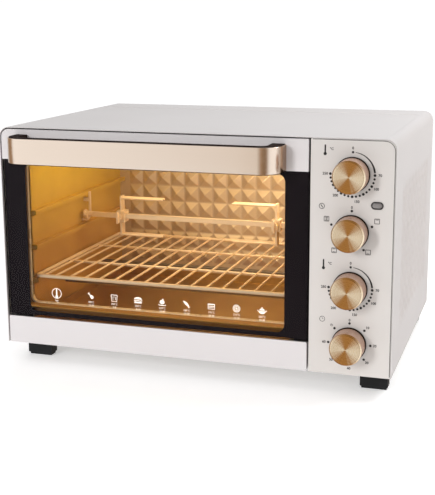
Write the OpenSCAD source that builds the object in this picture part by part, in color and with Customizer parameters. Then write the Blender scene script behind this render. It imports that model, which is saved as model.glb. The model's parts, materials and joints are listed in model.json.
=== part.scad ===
// Worktop rotisserie oven, taken apart into its separate pieces. Sizes are in millimetres.
// X runs to the right along the front, Y to the back and Z up.
// The origin lies under the middle of the oven, on the surface that its feet stand on.

/* [Casing] */
// Width over the casing's sides
body_w = 500; // [480:1:540]
// Depth of the casing, from its front edge to its rear edge
body_d = 350; // [340:1:380]
// Height of the casing above its base
body_h = 281; // [275:1:300]
// Height of the feet
foot_h = 28; // [20:1:40]
// Sheet thickness of the casing
skin_t = 1; // [0.8:0.1:1.4]
// Outside radius of the casing's top corners
corner_r = 13; // [8:1:18]
// How far the rear cover bulges out behind the casing
rear_bulge = 12; // [8:1:20]

/* [Door] */
// Thickness of the door glass
glass_t = 4; // [3:0.5:5]
// Height of the painted strip along the door's top
trim_h = 38; // [30:1:44]
// Width of the dark border at the sides of the window
border_side = 29; // [20:1:34]
// Height of the dark border under the window
border_low = 6.4; // [6:0.1:20]

/* [Handle] */
// How far the handle stands out from the door
handle_reach = 38; // [32:1:45]
// Height of the handle's band
handle_h = 33; // [24:1:36]
// Outside radius of the handle's bends
handle_r = 25; // [15:1:28]
// Thickness of the handle's metal band
band_t = 1.5; // [1:0.1:2.5]
// Thickness of the dark backing inside the band
backing_t = 9; // [4:0.5:9]

/* [Controls] */
// Width of the control panel
panel_w = 97.6; // [94:0.1:104]
// Height between one knob and the next
knob_pitch = 67; // [60:1:70]
// Diameter of a knob at its base
knob_base_d = 41; // [38:1:46]
// Diameter of a knob's metal cap
knob_cap_d = 37; // [30:0.5:40]
// How far a knob stands out from the panel
knob_reach = 25; // [14:1:26]

/* [Inside] */
// Width of the oven cavity
cavity_w = 348; // [340:1:350]
// Height of the rack above the surface that the oven stands on
rack_z = 113; // [105:1:125]
// Height of the spit above the surface that the oven stands on
spit_z = 167; // [160:1:175]
// Width across the flats of the square spit
spit_side = 6.4; // [5:0.1:8]
// Width of one embossed pyramid on the rear wall
pyramid_w = 22.6; // [20:0.1:24]
// Height of one embossed pyramid on the rear wall
pyramid_h = 23.6; // [20:0.1:24]
// How far a pyramid stands out of the rear wall
pyramid_d = 6; // [3:0.5:8]

/* [Hidden] */
$fn = 64;

// Casing
x_left = -body_w / 2;
x_right = body_w / 2;
z_base = foot_h;
z_top = foot_h + body_h;
total_d = handle_reach + body_d + rear_bulge;
y_front = -total_d / 2 + handle_reach;
y_rear = y_front + body_d;
cover_t = 1.2;
fit_gap = 0.4;

// Shallow field pressed into the casing's top
field_step = 0.6;
field_in_side = 12;
field_in_front = 14;
field_in_rear = 52;

// Flanges along the lower edges of the casing's sides
lip_w = 8;
lip_front = 16;
lip_hole_r = 1.6;
lip_hole_in = 90;

// Rear cover: its bulge, its vents and its screws
cover_y = y_rear - cover_t;
bulge_x0 = -190;
bulge_x1 = 190;
bulge_z0 = 92;
bulge_z1 = 272;
bulge_r = 14;
vent_len = 34;
vent_w = 4;
vent_pitch = 10;
bulge_vent_xs = [-150:50:150];
bulge_vent_zs = [224:vent_pitch:254];
side_vent_x = 219;
side_vent_zs = [120:vent_pitch:240];
cover_screw_in = 14;
cover_screw_r = 1.6;
cover_screw_len = 6;
cover_screw_head_r = 3.4;
cover_screw_head_h = 1.8;

// Base
pan_gap = 14;
pan_side_gap = 20;
pan_rim = 20;
pan_boss_r = 7;
pan_vent_len = 34;
pan_vent_x = 188;
pan_vent_ys = [-90:12:90];
pan_slot_len = 120;
pan_slot_x = -46;
pan_slot_ys = [-60:20:100];
pan_slot_w = 5;

// Hinge, door and the strip under it
strip_h = 35.4;
strip_gap = 1.6;
door_gap = 2.5;
door_side_gap = 3;
door_z0 = z_base + strip_h + strip_gap;
door_z1 = z_top - 2.6;
door_x0 = x_left + door_side_gap;
panel_x1 = x_right - skin_t - fit_gap;
panel_x0 = panel_x1 - panel_w;
door_x1 = panel_x0 - door_gap;
door_d = 18;
trim_gap = 0.4;
trim_z0 = door_z1 - trim_h;
glass_z1 = trim_z0 - trim_gap;
mask_t = 0.4;
window_x0 = door_x0 + border_side;
window_x1 = door_x1 - border_side + 0.4;
window_z0 = door_z0 + border_low;
window_z1 = 264;
window_r = 10;
hinge_y = y_front + 9;
hinge_z = door_z0 + 10;
pin_r = 2;
pin_gap = 0.05;

// Sheet frame behind the door's glass
ring_t = 1.2;
ring_x0 = door_x0 + 9;
ring_x1 = door_x1 - 9;
ring_z0 = hinge_z - 5;
ring_z1 = door_z1 - 5;
ring_y0 = y_front + glass_t + mask_t;
ring_y1 = y_front + door_d;
ring_side = 11;
ring_low = 8;
ring_high = 34;

// Hinge tabs on the front frame, and the door arms
tab_t = 3;
tab_r = 4.5;
tab_inset = 4;
tab_left_x = ring_x0 + tab_inset;
tab_right_x = ring_x1 - tab_inset - tab_t;
notch_w = 5.6;
notch_h = 13;
arm_t = 1.6;
arm_r = 60;
arm_w = 8;
arm_back = 20;
arm_slot_gap = 1.2;

// Handle
handle_x0 = -227.7;
handle_x1 = 122;
handle_z0 = 267.2;
backing_inset = 0.05;
handle_foot = 14;
handle_screw_r = 2;

// Front frame and cavity
frame_x0 = x_left + skin_t + fit_gap;
frame_over = 1.4;
frame_x1 = panel_x0 + frame_over;
frame_z1 = z_top - skin_t - field_step - fit_gap;
frame_y = y_front + 20;
frame_t = 1;
wall_t = 0.8;
cavity_x0 = -222;
cavity_x1 = cavity_x0 + cavity_w;
cavity_z0 = 46;
cavity_z1 = 287;
cavity_y1 = 151;
mouth_z0 = 79;
mouth_z1 = 285;
mouth_r = 8;
bead_depth = 8;
bead_h = 8;
bead_slope = 2.5;
rim_r = 2.5;
bead_clear = 0.3;
bead_top = rack_z - rim_r - bead_clear;
bead_tops = [bead_top, bead_top + 44, bead_top + 89];

// Rear wall embossing
pyramid_cols = 14;
pyramid_rows = 9;
pyramid_gap = 1;
pyramid_x0 = cavity_x0 + (cavity_w - pyramid_cols * pyramid_w) / 2;
pyramid_z0 = cavity_z1 - 3.6 - pyramid_rows * pyramid_h;

// Spit and what turns it
spit_y = 13;
spit_x0 = -218;
spit_x1 = 128;
journal_r = 4;
journal_len = 12;
socket_r = 9;
socket_shaft_r = 4;
socket_x0 = 118;
socket_x1 = 132;
socket_shaft_x1 = 148;
fork_left_x = -160;
fork_right_x = 66;
fork_half = 29;
tine_len = 62;
tine_r = 1.6;
hub_len = 12;
hub_side = 16;
screw_r = 2;

// Heaters
tube_r = 3.3;
heater_spread = 58;
heater_low_z = 84;
heater_high_z = 272;
heater_x0 = -238;
heater_x1 = 142;
stud_r = 1.5;
stud_len = 4;
collar_r = 6;
collar_len = 9;

// Oven lamp
lamp_y = 108;
lamp_z = 236;
lamp_r = 15;
lamp_x = cavity_x1 + 6;
lamp_well_r = 12;
neck_r = 5;
neck_len = 22;

// Controls
knob_x = 199.7;
knob_top_z = 267.5;
knob_gap = 1;
cap_t = 1.6;
cap_y = y_front - knob_reach;
cap_over = 0.6;
knob_shaft_r = 3;
bushing_r = 4.6;
bracket_y = y_front + 12;
bracket_t = 1.2;
shaft_y1 = bracket_y + 9.6;
shaft_in_knob = 5;
bushing_len = 5;
tag_w = 4;
tag_t = 0.8;
tag_len = 7;
shaft_hole_d = 9;
lamp_oval_w = 14.2;
lamp_oval_h = 8.8;
pilot_x = 228.8;
pilot_z = 232.9;

// Rack
rack_x0 = cavity_x0 + 2;
rack_x1 = cavity_x1 - 2;
rack_y0 = y_front + 21.2;
rack_y1 = 136;
rack_corner = 5;
wire_r = 1.5;
wire_count = 15;
wire_pitch = 20.7;
outer_wire_in = 9;
cross_wire_r = 1.8;
cross_wire_ys = [-50, 50];
cross_wire_drop = 0.6;

// Crumb tray
tray_z = 47.4;
tray_t = 0.8;
tray_rim = 12;
tray_slack = 0.8;
tray_y1 = 138;
strip_t = 1.4;
strip_d = 12;
strip_step = 3;
strip_r = 1.5;

// Cord inlet
gland_x = 205;
gland_z = 64;
gland_bore_r = 4.5;
gland_r = 8;
gland_len = 12;

// Feet
foot_w = 34;
foot_d = 16;
foot_in_x = 9;
foot_in_front = 36;
foot_in_rear = 9;
foot_x = x_right - foot_in_x - foot_w / 2;
foot_front_y = y_front + foot_in_front + foot_d / 2;
foot_rear_y = y_rear - foot_in_rear - foot_d / 2;
foot_screw_r = 2;
foot_web = 6;

// ---------- building blocks ----------

// A box between two corners
module box(lo, hi) {
    translate(lo) cube(hi - lo);
}

// An upright plate across the oven: its outline is drawn in X and Z
module plate_xz(y0, y1) {
    translate([0, y1, 0]) rotate([90, 0, 0]) linear_extrude(y1 - y0) children();
}

// An upright plate along the oven: its outline is drawn in Y and Z
module plate_yz(x0, x1) {
    translate([x0, 0, 0]) rotate([90, 0, 90]) linear_extrude(x1 - x0) children();
}

module rod_x(x0, x1, y, z, r) {
    translate([x0, y, z]) rotate([0, 90, 0]) cylinder(h = x1 - x0, r = r);
}

module rod_y(x, y0, y1, z, r) {
    translate([x, y1, z]) rotate([90, 0, 0]) cylinder(h = y1 - y0, r = r);
}

module rod_z(x, y, z0, z1, r) {
    translate([x, y, z0]) cylinder(h = z1 - z0, r = r);
}

// A flat rectangle between two points
module area(lo, hi) {
    translate(lo) square(hi - lo);
}

// A flat rectangle with every corner rounded
module round_area(lo, hi, r) {
    area([lo[0] + r, lo[1]], [hi[0] - r, hi[1]]);
    area([lo[0], lo[1] + r], [hi[0], hi[1] - r]);
    for (x = [lo[0] + r, hi[0] - r])
        for (y = [lo[1] + r, hi[1] - r])
            translate([x, y]) circle(r = r);
}

// A flat rectangle with only its upper corners rounded, each by its own radius
module arch_area(lo, hi, r_left, r_right) {
    difference() {
        area(lo, hi);
        area([lo[0] - 1, hi[1] - r_left], [lo[0] + r_left, hi[1] + 1]);
        area([hi[0] - r_right, hi[1] - r_right], [hi[0] + 1, hi[1] + 1]);
    }
    translate([lo[0] + r_left, hi[1] - r_left]) circle(r = r_left);
    translate([hi[0] - r_right, hi[1] - r_right]) circle(r = r_right);
}

// A slot with round ends, upright or lying
module slot_area(centre, length, width) {
    round_area(centre - [length / 2, width / 2], centre + [length / 2, width / 2], width / 2 - 0.01);
}

// ---------- casing ----------

module casing_outline(inset, low) {
    r = corner_r - inset;
    arch_area([x_left + inset, low], [x_right - inset, z_top - inset], r, r);
}

module top_field(z0, z1, inset) {
    edge = [inset, inset];
    lo = [x_left + field_in_side, y_front + field_in_front] + edge;
    hi = [x_right - field_in_side, y_rear - field_in_rear] - edge;
    translate([0, 0, z0]) linear_extrude(z1 - z0) round_area(lo, hi, corner_r - 2);
}

// Painted steel sheet over the top and both sides, with a shallow pressed field in its top
module outer_shell() {
    under = z_top - skin_t;
    color("#E9E6E3") difference() {
        union() {
            plate_xz(y_front, y_rear) difference() {
                casing_outline(0, z_base);
                casing_outline(skin_t, z_base - 1);
            }
            top_field(under - field_step, under + skin_t / 4, -skin_t / 2);
            for (x = [x_left, x_right - lip_w])
                box([x, y_front + lip_front, z_base], [x + lip_w, y_rear, z_base + skin_t]);
        }
        top_field(z_top - field_step, z_top + skin_t, 0);
        for (x = [x_left + lip_w / 2, x_right - lip_w / 2])
            for (y = [y_front + lip_hole_in, y_rear - lip_hole_in])
                rod_z(x, y, z_base - 1, z_base + skin_t + 1, lip_hole_r);
    }
}

module cover_screw_places() {
    for (x = [x_left + cover_screw_in, 0, x_right - cover_screw_in])
        for (z = [z_base + cover_screw_in, z_top - cover_screw_in])
            translate([x, 0, z]) children();
}

// Rear cover with a bulge that clears the cavity, rows of vents and the cord's opening
module back_cover() {
    color("#DAD7D3") difference() {
        union() {
            plate_xz(cover_y, y_rear)
                casing_outline(skin_t + fit_gap, z_base + skin_t + fit_gap);
            plate_xz(y_rear - 0.2, y_rear + rear_bulge)
                round_area([bulge_x0, bulge_z0], [bulge_x1, bulge_z1], bulge_r);
        }
        plate_xz(cover_y - 1, y_rear + rear_bulge - cover_t)
            round_area(
                [bulge_x0 + cover_t, bulge_z0 + cover_t],
                [bulge_x1 - cover_t, bulge_z1 - cover_t],
                bulge_r - cover_t
            );
        for (x = bulge_vent_xs)
            for (z = bulge_vent_zs)
                plate_xz(y_rear, y_rear + rear_bulge + 1) slot_area([x, z], vent_len, vent_w);
        for (z = side_vent_zs)
            plate_xz(cover_y - 1, y_rear + 1) slot_area([side_vent_x, z], vent_len, vent_w);
        plate_xz(cover_y - 1, y_rear + 1) translate([gland_x, gland_z]) circle(r = gland_r);
        cover_screw_places() rod_y(0, cover_y - 1, y_rear + 1, 0, cover_screw_r);
    }
}

module foot_places() {
    for (x = [-foot_x, foot_x])
        for (y = [foot_front_y, foot_rear_y])
            translate([x, y, 0]) children();
}

// Bottom sheet with turned-up edges and cooling slots under the controls
module base_pan() {
    edge = x_right - skin_t - fit_gap;
    pan_y0 = y_front + pan_gap;
    pan_y1 = cover_y - fit_gap;
    floor_z = z_base + skin_t + fit_gap;
    color("#C9C7C4") difference() {
        union() {
            box([-edge, pan_y0, floor_z], [edge, pan_y1, floor_z + skin_t]);
            for (x = [-edge, edge - skin_t])
                box([x, pan_y0 + pan_side_gap, floor_z], [x + skin_t, pan_y1, floor_z + pan_rim]);
            box([-edge, pan_y1 - skin_t, floor_z], [edge, pan_y1, floor_z + pan_rim]);
            foot_places() rod_z(0, 0, z_base, floor_z + skin_t / 2, pan_boss_r);
        }
        foot_places() rod_z(0, 0, z_base - 1, floor_z + skin_t + 1, foot_screw_r);
        cover_screw_places() rod_y(0, pan_y1 - skin_t - 1, pan_y1 + 1, 0, cover_screw_r);
        translate([0, 0, floor_z - 1]) linear_extrude(skin_t + 2) {
            for (y = pan_vent_ys)
                slot_area([pan_vent_x, y], pan_vent_len, pan_slot_w);
            for (y = pan_slot_ys)
                slot_area([pan_slot_x, y], pan_slot_len, pan_slot_w);
        }
    }
}

// One tapered block with a recess for its screw
module foot() {
    taper = 1.6;
    sole_h = 3;
    recess_r = 5;
    difference() {
        union() {
            box([-foot_w / 2, -foot_d / 2, sole_h], [foot_w / 2, foot_d / 2, foot_h]);
            box(
                [-foot_w / 2 + taper, -foot_d / 2 + taper, 0],
                [foot_w / 2 - taper, foot_d / 2 - taper, sole_h + 0.1]
            );
        }
        rod_z(0, 0, -1, foot_h - foot_web, recess_r);
        rod_z(0, 0, -1, foot_h + 1, foot_screw_r);
    }
}

module feet() {
    color("#1F2324") foot_places() foot();
}

// Screws up through the feet into the base
module foot_screws() {
    tip = z_base + 8;
    head_h = 3;
    head_r = 4;
    color("#B8B8B8") foot_places() {
        rod_z(0, 0, foot_h - foot_web, tip, foot_screw_r);
        rod_z(0, 0, foot_h - foot_web - head_h, foot_h - foot_web, head_r);
    }
}

// Screws round the edge of the rear cover
module casing_screws() {
    color("#BDBDBD") cover_screw_places() {
        rod_y(0, cover_y - cover_screw_len, y_rear, 0, cover_screw_r);
        rod_y(0, y_rear, y_rear + cover_screw_head_h, 0, cover_screw_head_r);
    }
}

// Bushing in the rear cover that the cord comes out of
module cord_gland() {
    flange_r = gland_r + 3;
    flange_t = 2;
    outer = y_rear + 6;
    inner = outer - gland_len;
    color("#202224") difference() {
        union() {
            rod_y(gland_x, inner, outer, gland_z, gland_r);
            rod_y(gland_x, y_rear, y_rear + flange_t, gland_z, flange_r);
            rod_y(gland_x, cover_y - flange_t, cover_y, gland_z, flange_r);
        }
        rod_y(gland_x, inner - 1, outer + 1, gland_z, gland_bore_r);
    }
}

// Block inside the rear that joins the cord to the oven's wires
module terminal_block() {
    block = [36, 20, 16];
    corner = [150, 120, z_base + skin_t * 2 + fit_gap];
    well_r = 3;
    well_d = 10;
    well_pitch = 11;
    color("#E8E4D8") difference() {
        translate(corner) cube(block);
        for (i = [-1:1])
            translate(corner + [block[0] / 2 + i * well_pitch, block[1] / 2, block[2] - well_d])
                cylinder(h = well_d + 1, r = well_r);
    }
}

// ---------- front frame, panel and bracket ----------

module arm_slot(x) {
    x0 = x - arm_slot_gap;
    low = sqrt(pow(arm_r - arm_w / 2, 2) - pow(frame_y + frame_t - hinge_y, 2)) - arm_slot_gap;
    high = sqrt(pow(arm_r + arm_w / 2, 2) - pow(frame_y - hinge_y, 2)) + arm_slot_gap;
    area([x0, hinge_z + low], [x0 + arm_t + 2 * arm_slot_gap, hinge_z + high]);
}

module hinge_tab(x) {
    difference() {
        union() {
            rod_x(x, x + tab_t, hinge_y, hinge_z, tab_r);
            box([x, hinge_y, hinge_z - tab_r], [x + tab_t, frame_y + frame_t, hinge_z + tab_r]);
        }
        rod_x(x - 1, x + tab_t + 1, hinge_y, hinge_z, pin_r + pin_gap);
    }
}

// Sheet frame round the mouth of the cavity: it carries the door's hinge tabs
module front_frame() {
    foot_gap = 6;
    tray_gap = 2;
    low_z = tray_z + tray_rim + tray_slack;
    flange_d = 14;
    flange_y0 = frame_y + frame_t / 2;
    flange_y1 = frame_y + flange_d;
    flange_z = [60, 280];
    color("#BDB7AC") {
        plate_xz(frame_y, frame_y + frame_t) difference() {
            arch_area(
                [frame_x0, z_base + foot_gap], [frame_x1, frame_z1], corner_r - skin_t - fit_gap, 0.5
            );
            area([cavity_x0 - tray_gap, z_base], [cavity_x1 + tray_gap, low_z]);
            round_area([cavity_x0, mouth_z0], [cavity_x1, mouth_z1], mouth_r);
            arm_slot(ring_x0 - arm_t);
            arm_slot(ring_x1);
        }
        box([cavity_x0, flange_y0, low_z], [cavity_x1, flange_y1, low_z + frame_t]);
        for (x = [frame_x0, frame_x1 - frame_t])
            box([x, flange_y0, flange_z[0]], [x + frame_t, flange_y1, flange_z[1]]);
        hinge_tab(tab_left_x);
        hinge_tab(tab_right_x);
    }
}

module panel_outline(inset) {
    arch_area(
        [panel_x0 + inset, z_base + inset],
        [panel_x1 - inset, z_top - skin_t - fit_gap - inset],
        1, corner_r - skin_t - fit_gap - inset
    );
}

module knob_places() {
    for (i = [0:3])
        translate([knob_x, 0, knob_top_z - i * knob_pitch]) children();
}

// Painted panel with turned-back edges, four shaft holes and the lamp's oval hole
module control_panel() {
    panel_t = 1.6;
    edge_d = 10;
    color("#DEDBD7") difference() {
        union() {
            plate_xz(y_front, y_front + panel_t) panel_outline(0);
            plate_xz(y_front, y_front + edge_d) difference() {
                panel_outline(0);
                panel_outline(panel_t);
            }
        }
        knob_places() rod_y(0, y_front - 1, y_front + panel_t + 1, 0, 5);
        plate_xz(y_front - 1, y_front + panel_t + 1)
            slot_area([pilot_x, pilot_z], lamp_oval_w, lamp_oval_h);
    }
}

// Sheet behind the panel that holds the thermostats, switch and timer
module control_bracket() {
    x0 = panel_x0 + 2 * frame_over;
    x1 = panel_x1 - 2;
    z0 = z_base + 5;
    wing_d = 40;
    color("#B9B9B7") difference() {
        union() {
            box([x0, bracket_y, z0], [x1, bracket_y + bracket_t, z_top - 8]);
            box([x0, bracket_y, z0], [x0 + bracket_t, bracket_y + wing_d, z_top - wing_d]);
        }
        knob_places() rod_y(0, bracket_y - 1, bracket_y + bracket_t + 1, 0, bushing_r);
        plate_xz(bracket_y - 1, bracket_y + bracket_t + 1)
            slot_area([pilot_x, pilot_z], lamp_oval_w + 2, lamp_oval_h + 2);
    }
}

// ---------- controls ----------

// A round or square switch body with a bushing for its shaft
module control_body(case_w, case_h, case_d, round_case) {
    case_y = bracket_y + bracket_t;
    rear_y = case_y + case_d;
    difference() {
        union() {
            if (round_case)
                rod_y(0, case_y, rear_y, 0, case_w / 2);
            else
                box([-case_w / 2, case_y, -case_h / 2], [case_w / 2, rear_y, case_h / 2]);
            rod_y(0, bracket_y - bushing_len, case_y + tag_t, 0, bushing_r);
            for (x = [-case_w / 3, case_w / 3])
                box(
                    [x - tag_w / 2, rear_y - tag_t, -tag_w],
                    [x + tag_w / 2, rear_y + tag_len, tag_t - tag_w]
                );
        }
        rod_y(0, bracket_y - bushing_len - 1, case_y + shaft_hole_d, 0, knob_shaft_r + pin_gap);
    }
}

module upper_thermostat() {
    color("#D8D2C2") translate([knob_x, 0, knob_top_z]) control_body(32, 32, 20, true);
}

module function_switch() {
    color("#2B2D31") translate([knob_x, 0, knob_top_z - knob_pitch]) control_body(36, 36, 28, false);
}

module lower_thermostat() {
    color("#D8D2C2") translate([knob_x, 0, knob_top_z - 2 * knob_pitch]) control_body(32, 32, 20, true);
}

module timer() {
    color("#C9CBCD") translate([knob_x, 0, knob_top_z - 3 * knob_pitch]) control_body(48, 46, 30, false);
}

module knob_shaft() {
    color("#BFC1C2") rod_y(0, cap_y + shaft_in_knob, shaft_y1, 0, knob_shaft_r);
}

// Hollow skirt with a boss for the shaft, tapering towards the cap, and a pointer on its upper side
module knob_body() {
    base_r = knob_base_d / 2;
    rim_r = knob_cap_d / 2 + 0.9;
    wall = 2;
    rim_h = 2.5;
    base_y = y_front - knob_gap;
    seat_y = cap_y + cap_t;
    depth = base_y - seat_y;
    boss_r = 6;
    boss_gap = 1.5;
    pointer_w = 1.6;
    pointer_len = 8;
    color("#CFA98F") {
        translate([0, base_y, 0]) rotate([90, 0, 0]) difference() {
            rotate_extrude() polygon([
                [0, depth - wall], [0, depth], [rim_r, depth], [base_r, rim_h], [base_r, 0],
                [base_r - wall, 0], [base_r - wall, rim_h], [rim_r - wall, depth - wall]
            ]);
            translate([0, 0, -1]) cylinder(h = depth + 2, r = knob_shaft_r);
        }
        difference() {
            rod_y(0, seat_y + 1, base_y - boss_gap, 0, boss_r);
            rod_y(0, cap_y, base_y + 1, 0, knob_shaft_r);
        }
        box(
            [-pointer_w / 2, seat_y + 1, rim_r - 0.6],
            [pointer_w / 2, seat_y + 1 + pointer_len, rim_r + 0.9]
        );
    }
}

// Spun metal disc with a bright chamfer round its edge
module knob_cap() {
    r = knob_cap_d / 2 + cap_over;
    chamfer = 1.2;
    edge = cap_t - chamfer;
    color("#DDB375") translate([0, cap_y + cap_t, 0]) rotate([90, 0, 0]) rotate_extrude()
        polygon([[0, 0], [r, 0], [r, edge], [r - chamfer, cap_t], [0, cap_t]]);
}

module upper_knob_shaft() { translate([knob_x, 0, knob_top_z]) knob_shaft(); }
module upper_knob_body() { translate([knob_x, 0, knob_top_z]) knob_body(); }
module upper_knob_cap() { translate([knob_x, 0, knob_top_z]) knob_cap(); }
module function_knob_shaft() { translate([knob_x, 0, knob_top_z - knob_pitch]) knob_shaft(); }
module function_knob_body() { translate([knob_x, 0, knob_top_z - knob_pitch]) knob_body(); }
module function_knob_cap() { translate([knob_x, 0, knob_top_z - knob_pitch]) knob_cap(); }
module lower_knob_shaft() { translate([knob_x, 0, knob_top_z - 2 * knob_pitch]) knob_shaft(); }
module lower_knob_body() { translate([knob_x, 0, knob_top_z - 2 * knob_pitch]) knob_body(); }
module lower_knob_cap() { translate([knob_x, 0, knob_top_z - 2 * knob_pitch]) knob_cap(); }
module timer_knob_shaft() { translate([knob_x, 0, knob_top_z - 3 * knob_pitch]) knob_shaft(); }
module timer_knob_body() { translate([knob_x, 0, knob_top_z - 3 * knob_pitch]) knob_body(); }
module timer_knob_cap() { translate([knob_x, 0, knob_top_z - 3 * knob_pitch]) knob_cap(); }

module pilot_lens_outline() {
    rim = 1;
    slot_area([pilot_x, pilot_z], lamp_oval_w - 2 * rim, lamp_oval_h - 2 * rim);
}

module power_lamp_bezel() {
    proud = 1.2;
    color("#8F8A86") plate_xz(y_front - proud, y_front + 2) difference() {
        slot_area([pilot_x, pilot_z], lamp_oval_w, lamp_oval_h);
        pilot_lens_outline();
    }
}

module power_lamp_lens() {
    proud = 0.8;
    depth = 5;
    color("#6B4A45") plate_xz(y_front - proud, y_front + depth) pilot_lens_outline();
}

// ---------- cavity ----------

// Cross-section of a side wall: a thin sheet with three pressed beads, closed at their ends, that
// carry the rack.
// side is 1 where the cavity lies to the right of the wall, and -1 where it lies to the left.
function bead_points(top, offset) = [
    [offset, top - bead_h],
    [offset + bead_depth, top - bead_h + bead_slope],
    [offset + bead_depth, top],
    [offset, top]
];

function wall_edge(offset) = concat(
    [[offset, cavity_z0]],
    [for (top = bead_tops, p = bead_points(top, offset)) p],
    [[offset, cavity_z1]]
);

function back_edge() = concat(
    [[-wall_t, cavity_z0]],
    [for (top = bead_tops) each [
        [-wall_t, top - bead_h + wall_t / 2],
        [bead_depth - wall_t, top - bead_h + bead_slope + wall_t],
        [bead_depth - wall_t, top - wall_t],
        [-wall_t, top - wall_t]
    ]],
    [[-wall_t, cavity_z1]]
);

function reversed(list) = [for (i = [len(list) - 1:-1:0]) list[i]];

module side_wall(x, side) {
    outline = concat(wall_edge(0), reversed(back_edge()));
    wall_y0 = frame_y + frame_t;
    plate_xz(wall_y0, cavity_y1) polygon([for (p = outline) [x + side * p[0], p[1]]]);
    for (top = bead_tops)
        for (y = [wall_y0, cavity_y1 - wall_t])
            plate_xz(y, y + wall_t)
                polygon([for (p = bead_points(top, -wall_t / 2)) [x + side * p[0], p[1]]]);
}

module heater_holes(x, z) {
    for (y = [spit_y - heater_spread, spit_y + heater_spread])
        rod_x(x - 3, x + 3, y, z, tube_r + 0.1);
}

module cavity_left_wall() {
    color("#C9A25A") difference() {
        side_wall(cavity_x0, 1);
        heater_holes(cavity_x0, heater_low_z);
        heater_holes(cavity_x0, heater_high_z);
    }
}

module cavity_right_wall() {
    color("#C9A25A") difference() {
        side_wall(cavity_x1, -1);
        heater_holes(cavity_x1, heater_low_z);
        heater_holes(cavity_x1, heater_high_z);
        rod_x(cavity_x1 - 3, cavity_x1 + 3, spit_y, spit_z, socket_r + 0.6);
        rod_x(cavity_x1 - 3, cavity_x1 + 3, lamp_y, lamp_z, lamp_r + 0.2);
    }
}

// Rear wall embossed with a grid of square pyramids, each set in a narrow flat margin
module cavity_back_wall() {
    cols = pyramid_cols;
    rows = pyramid_rows;
    xs = concat(
        [cavity_x0 - wall_t], [for (i = [0:cols]) pyramid_x0 + i * pyramid_w], [cavity_x1 + wall_t]
    );
    zs = concat(
        [cavity_z0], [for (j = [0:rows]) pyramid_z0 + j * pyramid_h], [cavity_z1]
    );
    nx = len(xs);
    nz = len(zs);
    grid = nx * nz;
    cell = 5;
    side = grid + cols * rows * cell;
    // Points of one face of the sheet: the grid, then four base corners and a peak for each pyramid
    face_points = concat(
        [for (j = [0:nz - 1], i = [0:nx - 1]) [xs[i], 0, zs[j]]],
        [for (j = [1:rows], i = [1:cols]) each [
            [xs[i] + pyramid_gap, 0, zs[j] + pyramid_gap],
            [xs[i + 1] - pyramid_gap, 0, zs[j] + pyramid_gap],
            [xs[i + 1] - pyramid_gap, 0, zs[j + 1] - pyramid_gap],
            [xs[i] + pyramid_gap, 0, zs[j + 1] - pyramid_gap],
            [(xs[i] + xs[i + 1]) / 2, -pyramid_d, (zs[j] + zs[j + 1]) / 2]
        ]]
    );
    flat_cells = [for (j = [0:nz - 2], i = [0:nx - 2])
        if (i == 0 || j == 0 || i == nx - 2 || j == nz - 2)
            [j * nx + i, (j + 1) * nx + i, (j + 1) * nx + i + 1, j * nx + i + 1]
    ];
    pyramid_cells = [for (j = [1:rows], i = [1:cols])
        let (
            g = [j * nx + i, j * nx + i + 1, (j + 1) * nx + i + 1, (j + 1) * nx + i],
            b = grid + ((j - 1) * cols + i - 1) * cell
        )
        for (k = [0:3])
            let (n = (k + 1) % 4)
            each [[g[n], g[k], b + k, b + n], [b + n, b + k, b + 4]]
    ];
    front = concat(flat_cells, pyramid_cells);
    back = [for (f = front) [for (v = reversed(f)) v + side]];
    low = [for (i = [0:nx - 2]) [i, i + 1, i + 1 + side, i + side]];
    high = [for (i = [0:nx - 2]) let (a = (nz - 1) * nx + i) [a + 1, a, a + side, a + 1 + side]];
    left = [for (j = [0:nz - 2]) [(j + 1) * nx, j * nx, j * nx + side, (j + 1) * nx + side]];
    right = [for (j = [0:nz - 2])
        let (a = j * nx + nx - 1)
        [a, a + nx, a + nx + side, a + side]
    ];
    all_points = concat(
        [for (p = face_points) p + [0, cavity_y1, 0]],
        [for (p = face_points) p + [0, cavity_y1 + wall_t, 0]]
    );
    color("#D9AE66") polyhedron(all_points, concat(front, back, low, high, left, right));
}

module cavity_top() {
    hole_xs = [60:10:100];
    hole_y = 120;
    hole_r = 2.5;
    color("#C9A25A") difference() {
        box(
            [cavity_x0 - wall_t, frame_y + frame_t, cavity_z1],
            [cavity_x1 + wall_t, cavity_y1 + wall_t, cavity_z1 + wall_t]
        );
        for (x = hole_xs)
            rod_z(x, hole_y, cavity_z1 - 1, cavity_z1 + wall_t + 1, hole_r);
    }
}

module cavity_floor() {
    color("#B98A3E") box(
        [cavity_x0 - wall_t, frame_y + frame_t, cavity_z0 - wall_t],
        [cavity_x1 + wall_t, cavity_y1 + wall_t, cavity_z0]
    );
}

// ---------- heating, lamp and spit ----------

module heater_pair(z) {
    for (y = [spit_y - heater_spread, spit_y + heater_spread]) {
        rod_x(heater_x0, heater_x1, y, z, tube_r);
        rod_x(heater_x0 - stud_len, heater_x1 + stud_len, y, z, stud_r);
    }
}

module upper_heaters() {
    color("#8C8680") heater_pair(heater_high_z);
}

module lower_heaters() {
    color("#8C8680") heater_pair(heater_low_z);
}

// Ceramic collars that hold the heater tubes outside both side walls
module heater_insulators() {
    color("#EFEBE0") for (z = [heater_low_z, heater_high_z])
        for (y = [spit_y - heater_spread, spit_y + heater_spread])
            difference() {
                union() {
                    rod_x(cavity_x0 - wall_t - collar_len, cavity_x0 - wall_t, y, z, collar_r);
                    rod_x(cavity_x1 + wall_t, cavity_x1 + wall_t + collar_len, y, z, collar_r);
                }
                rod_x(heater_x0 - stud_len, heater_x1 + stud_len, y, z, tube_r + pin_gap);
            }
}

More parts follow.
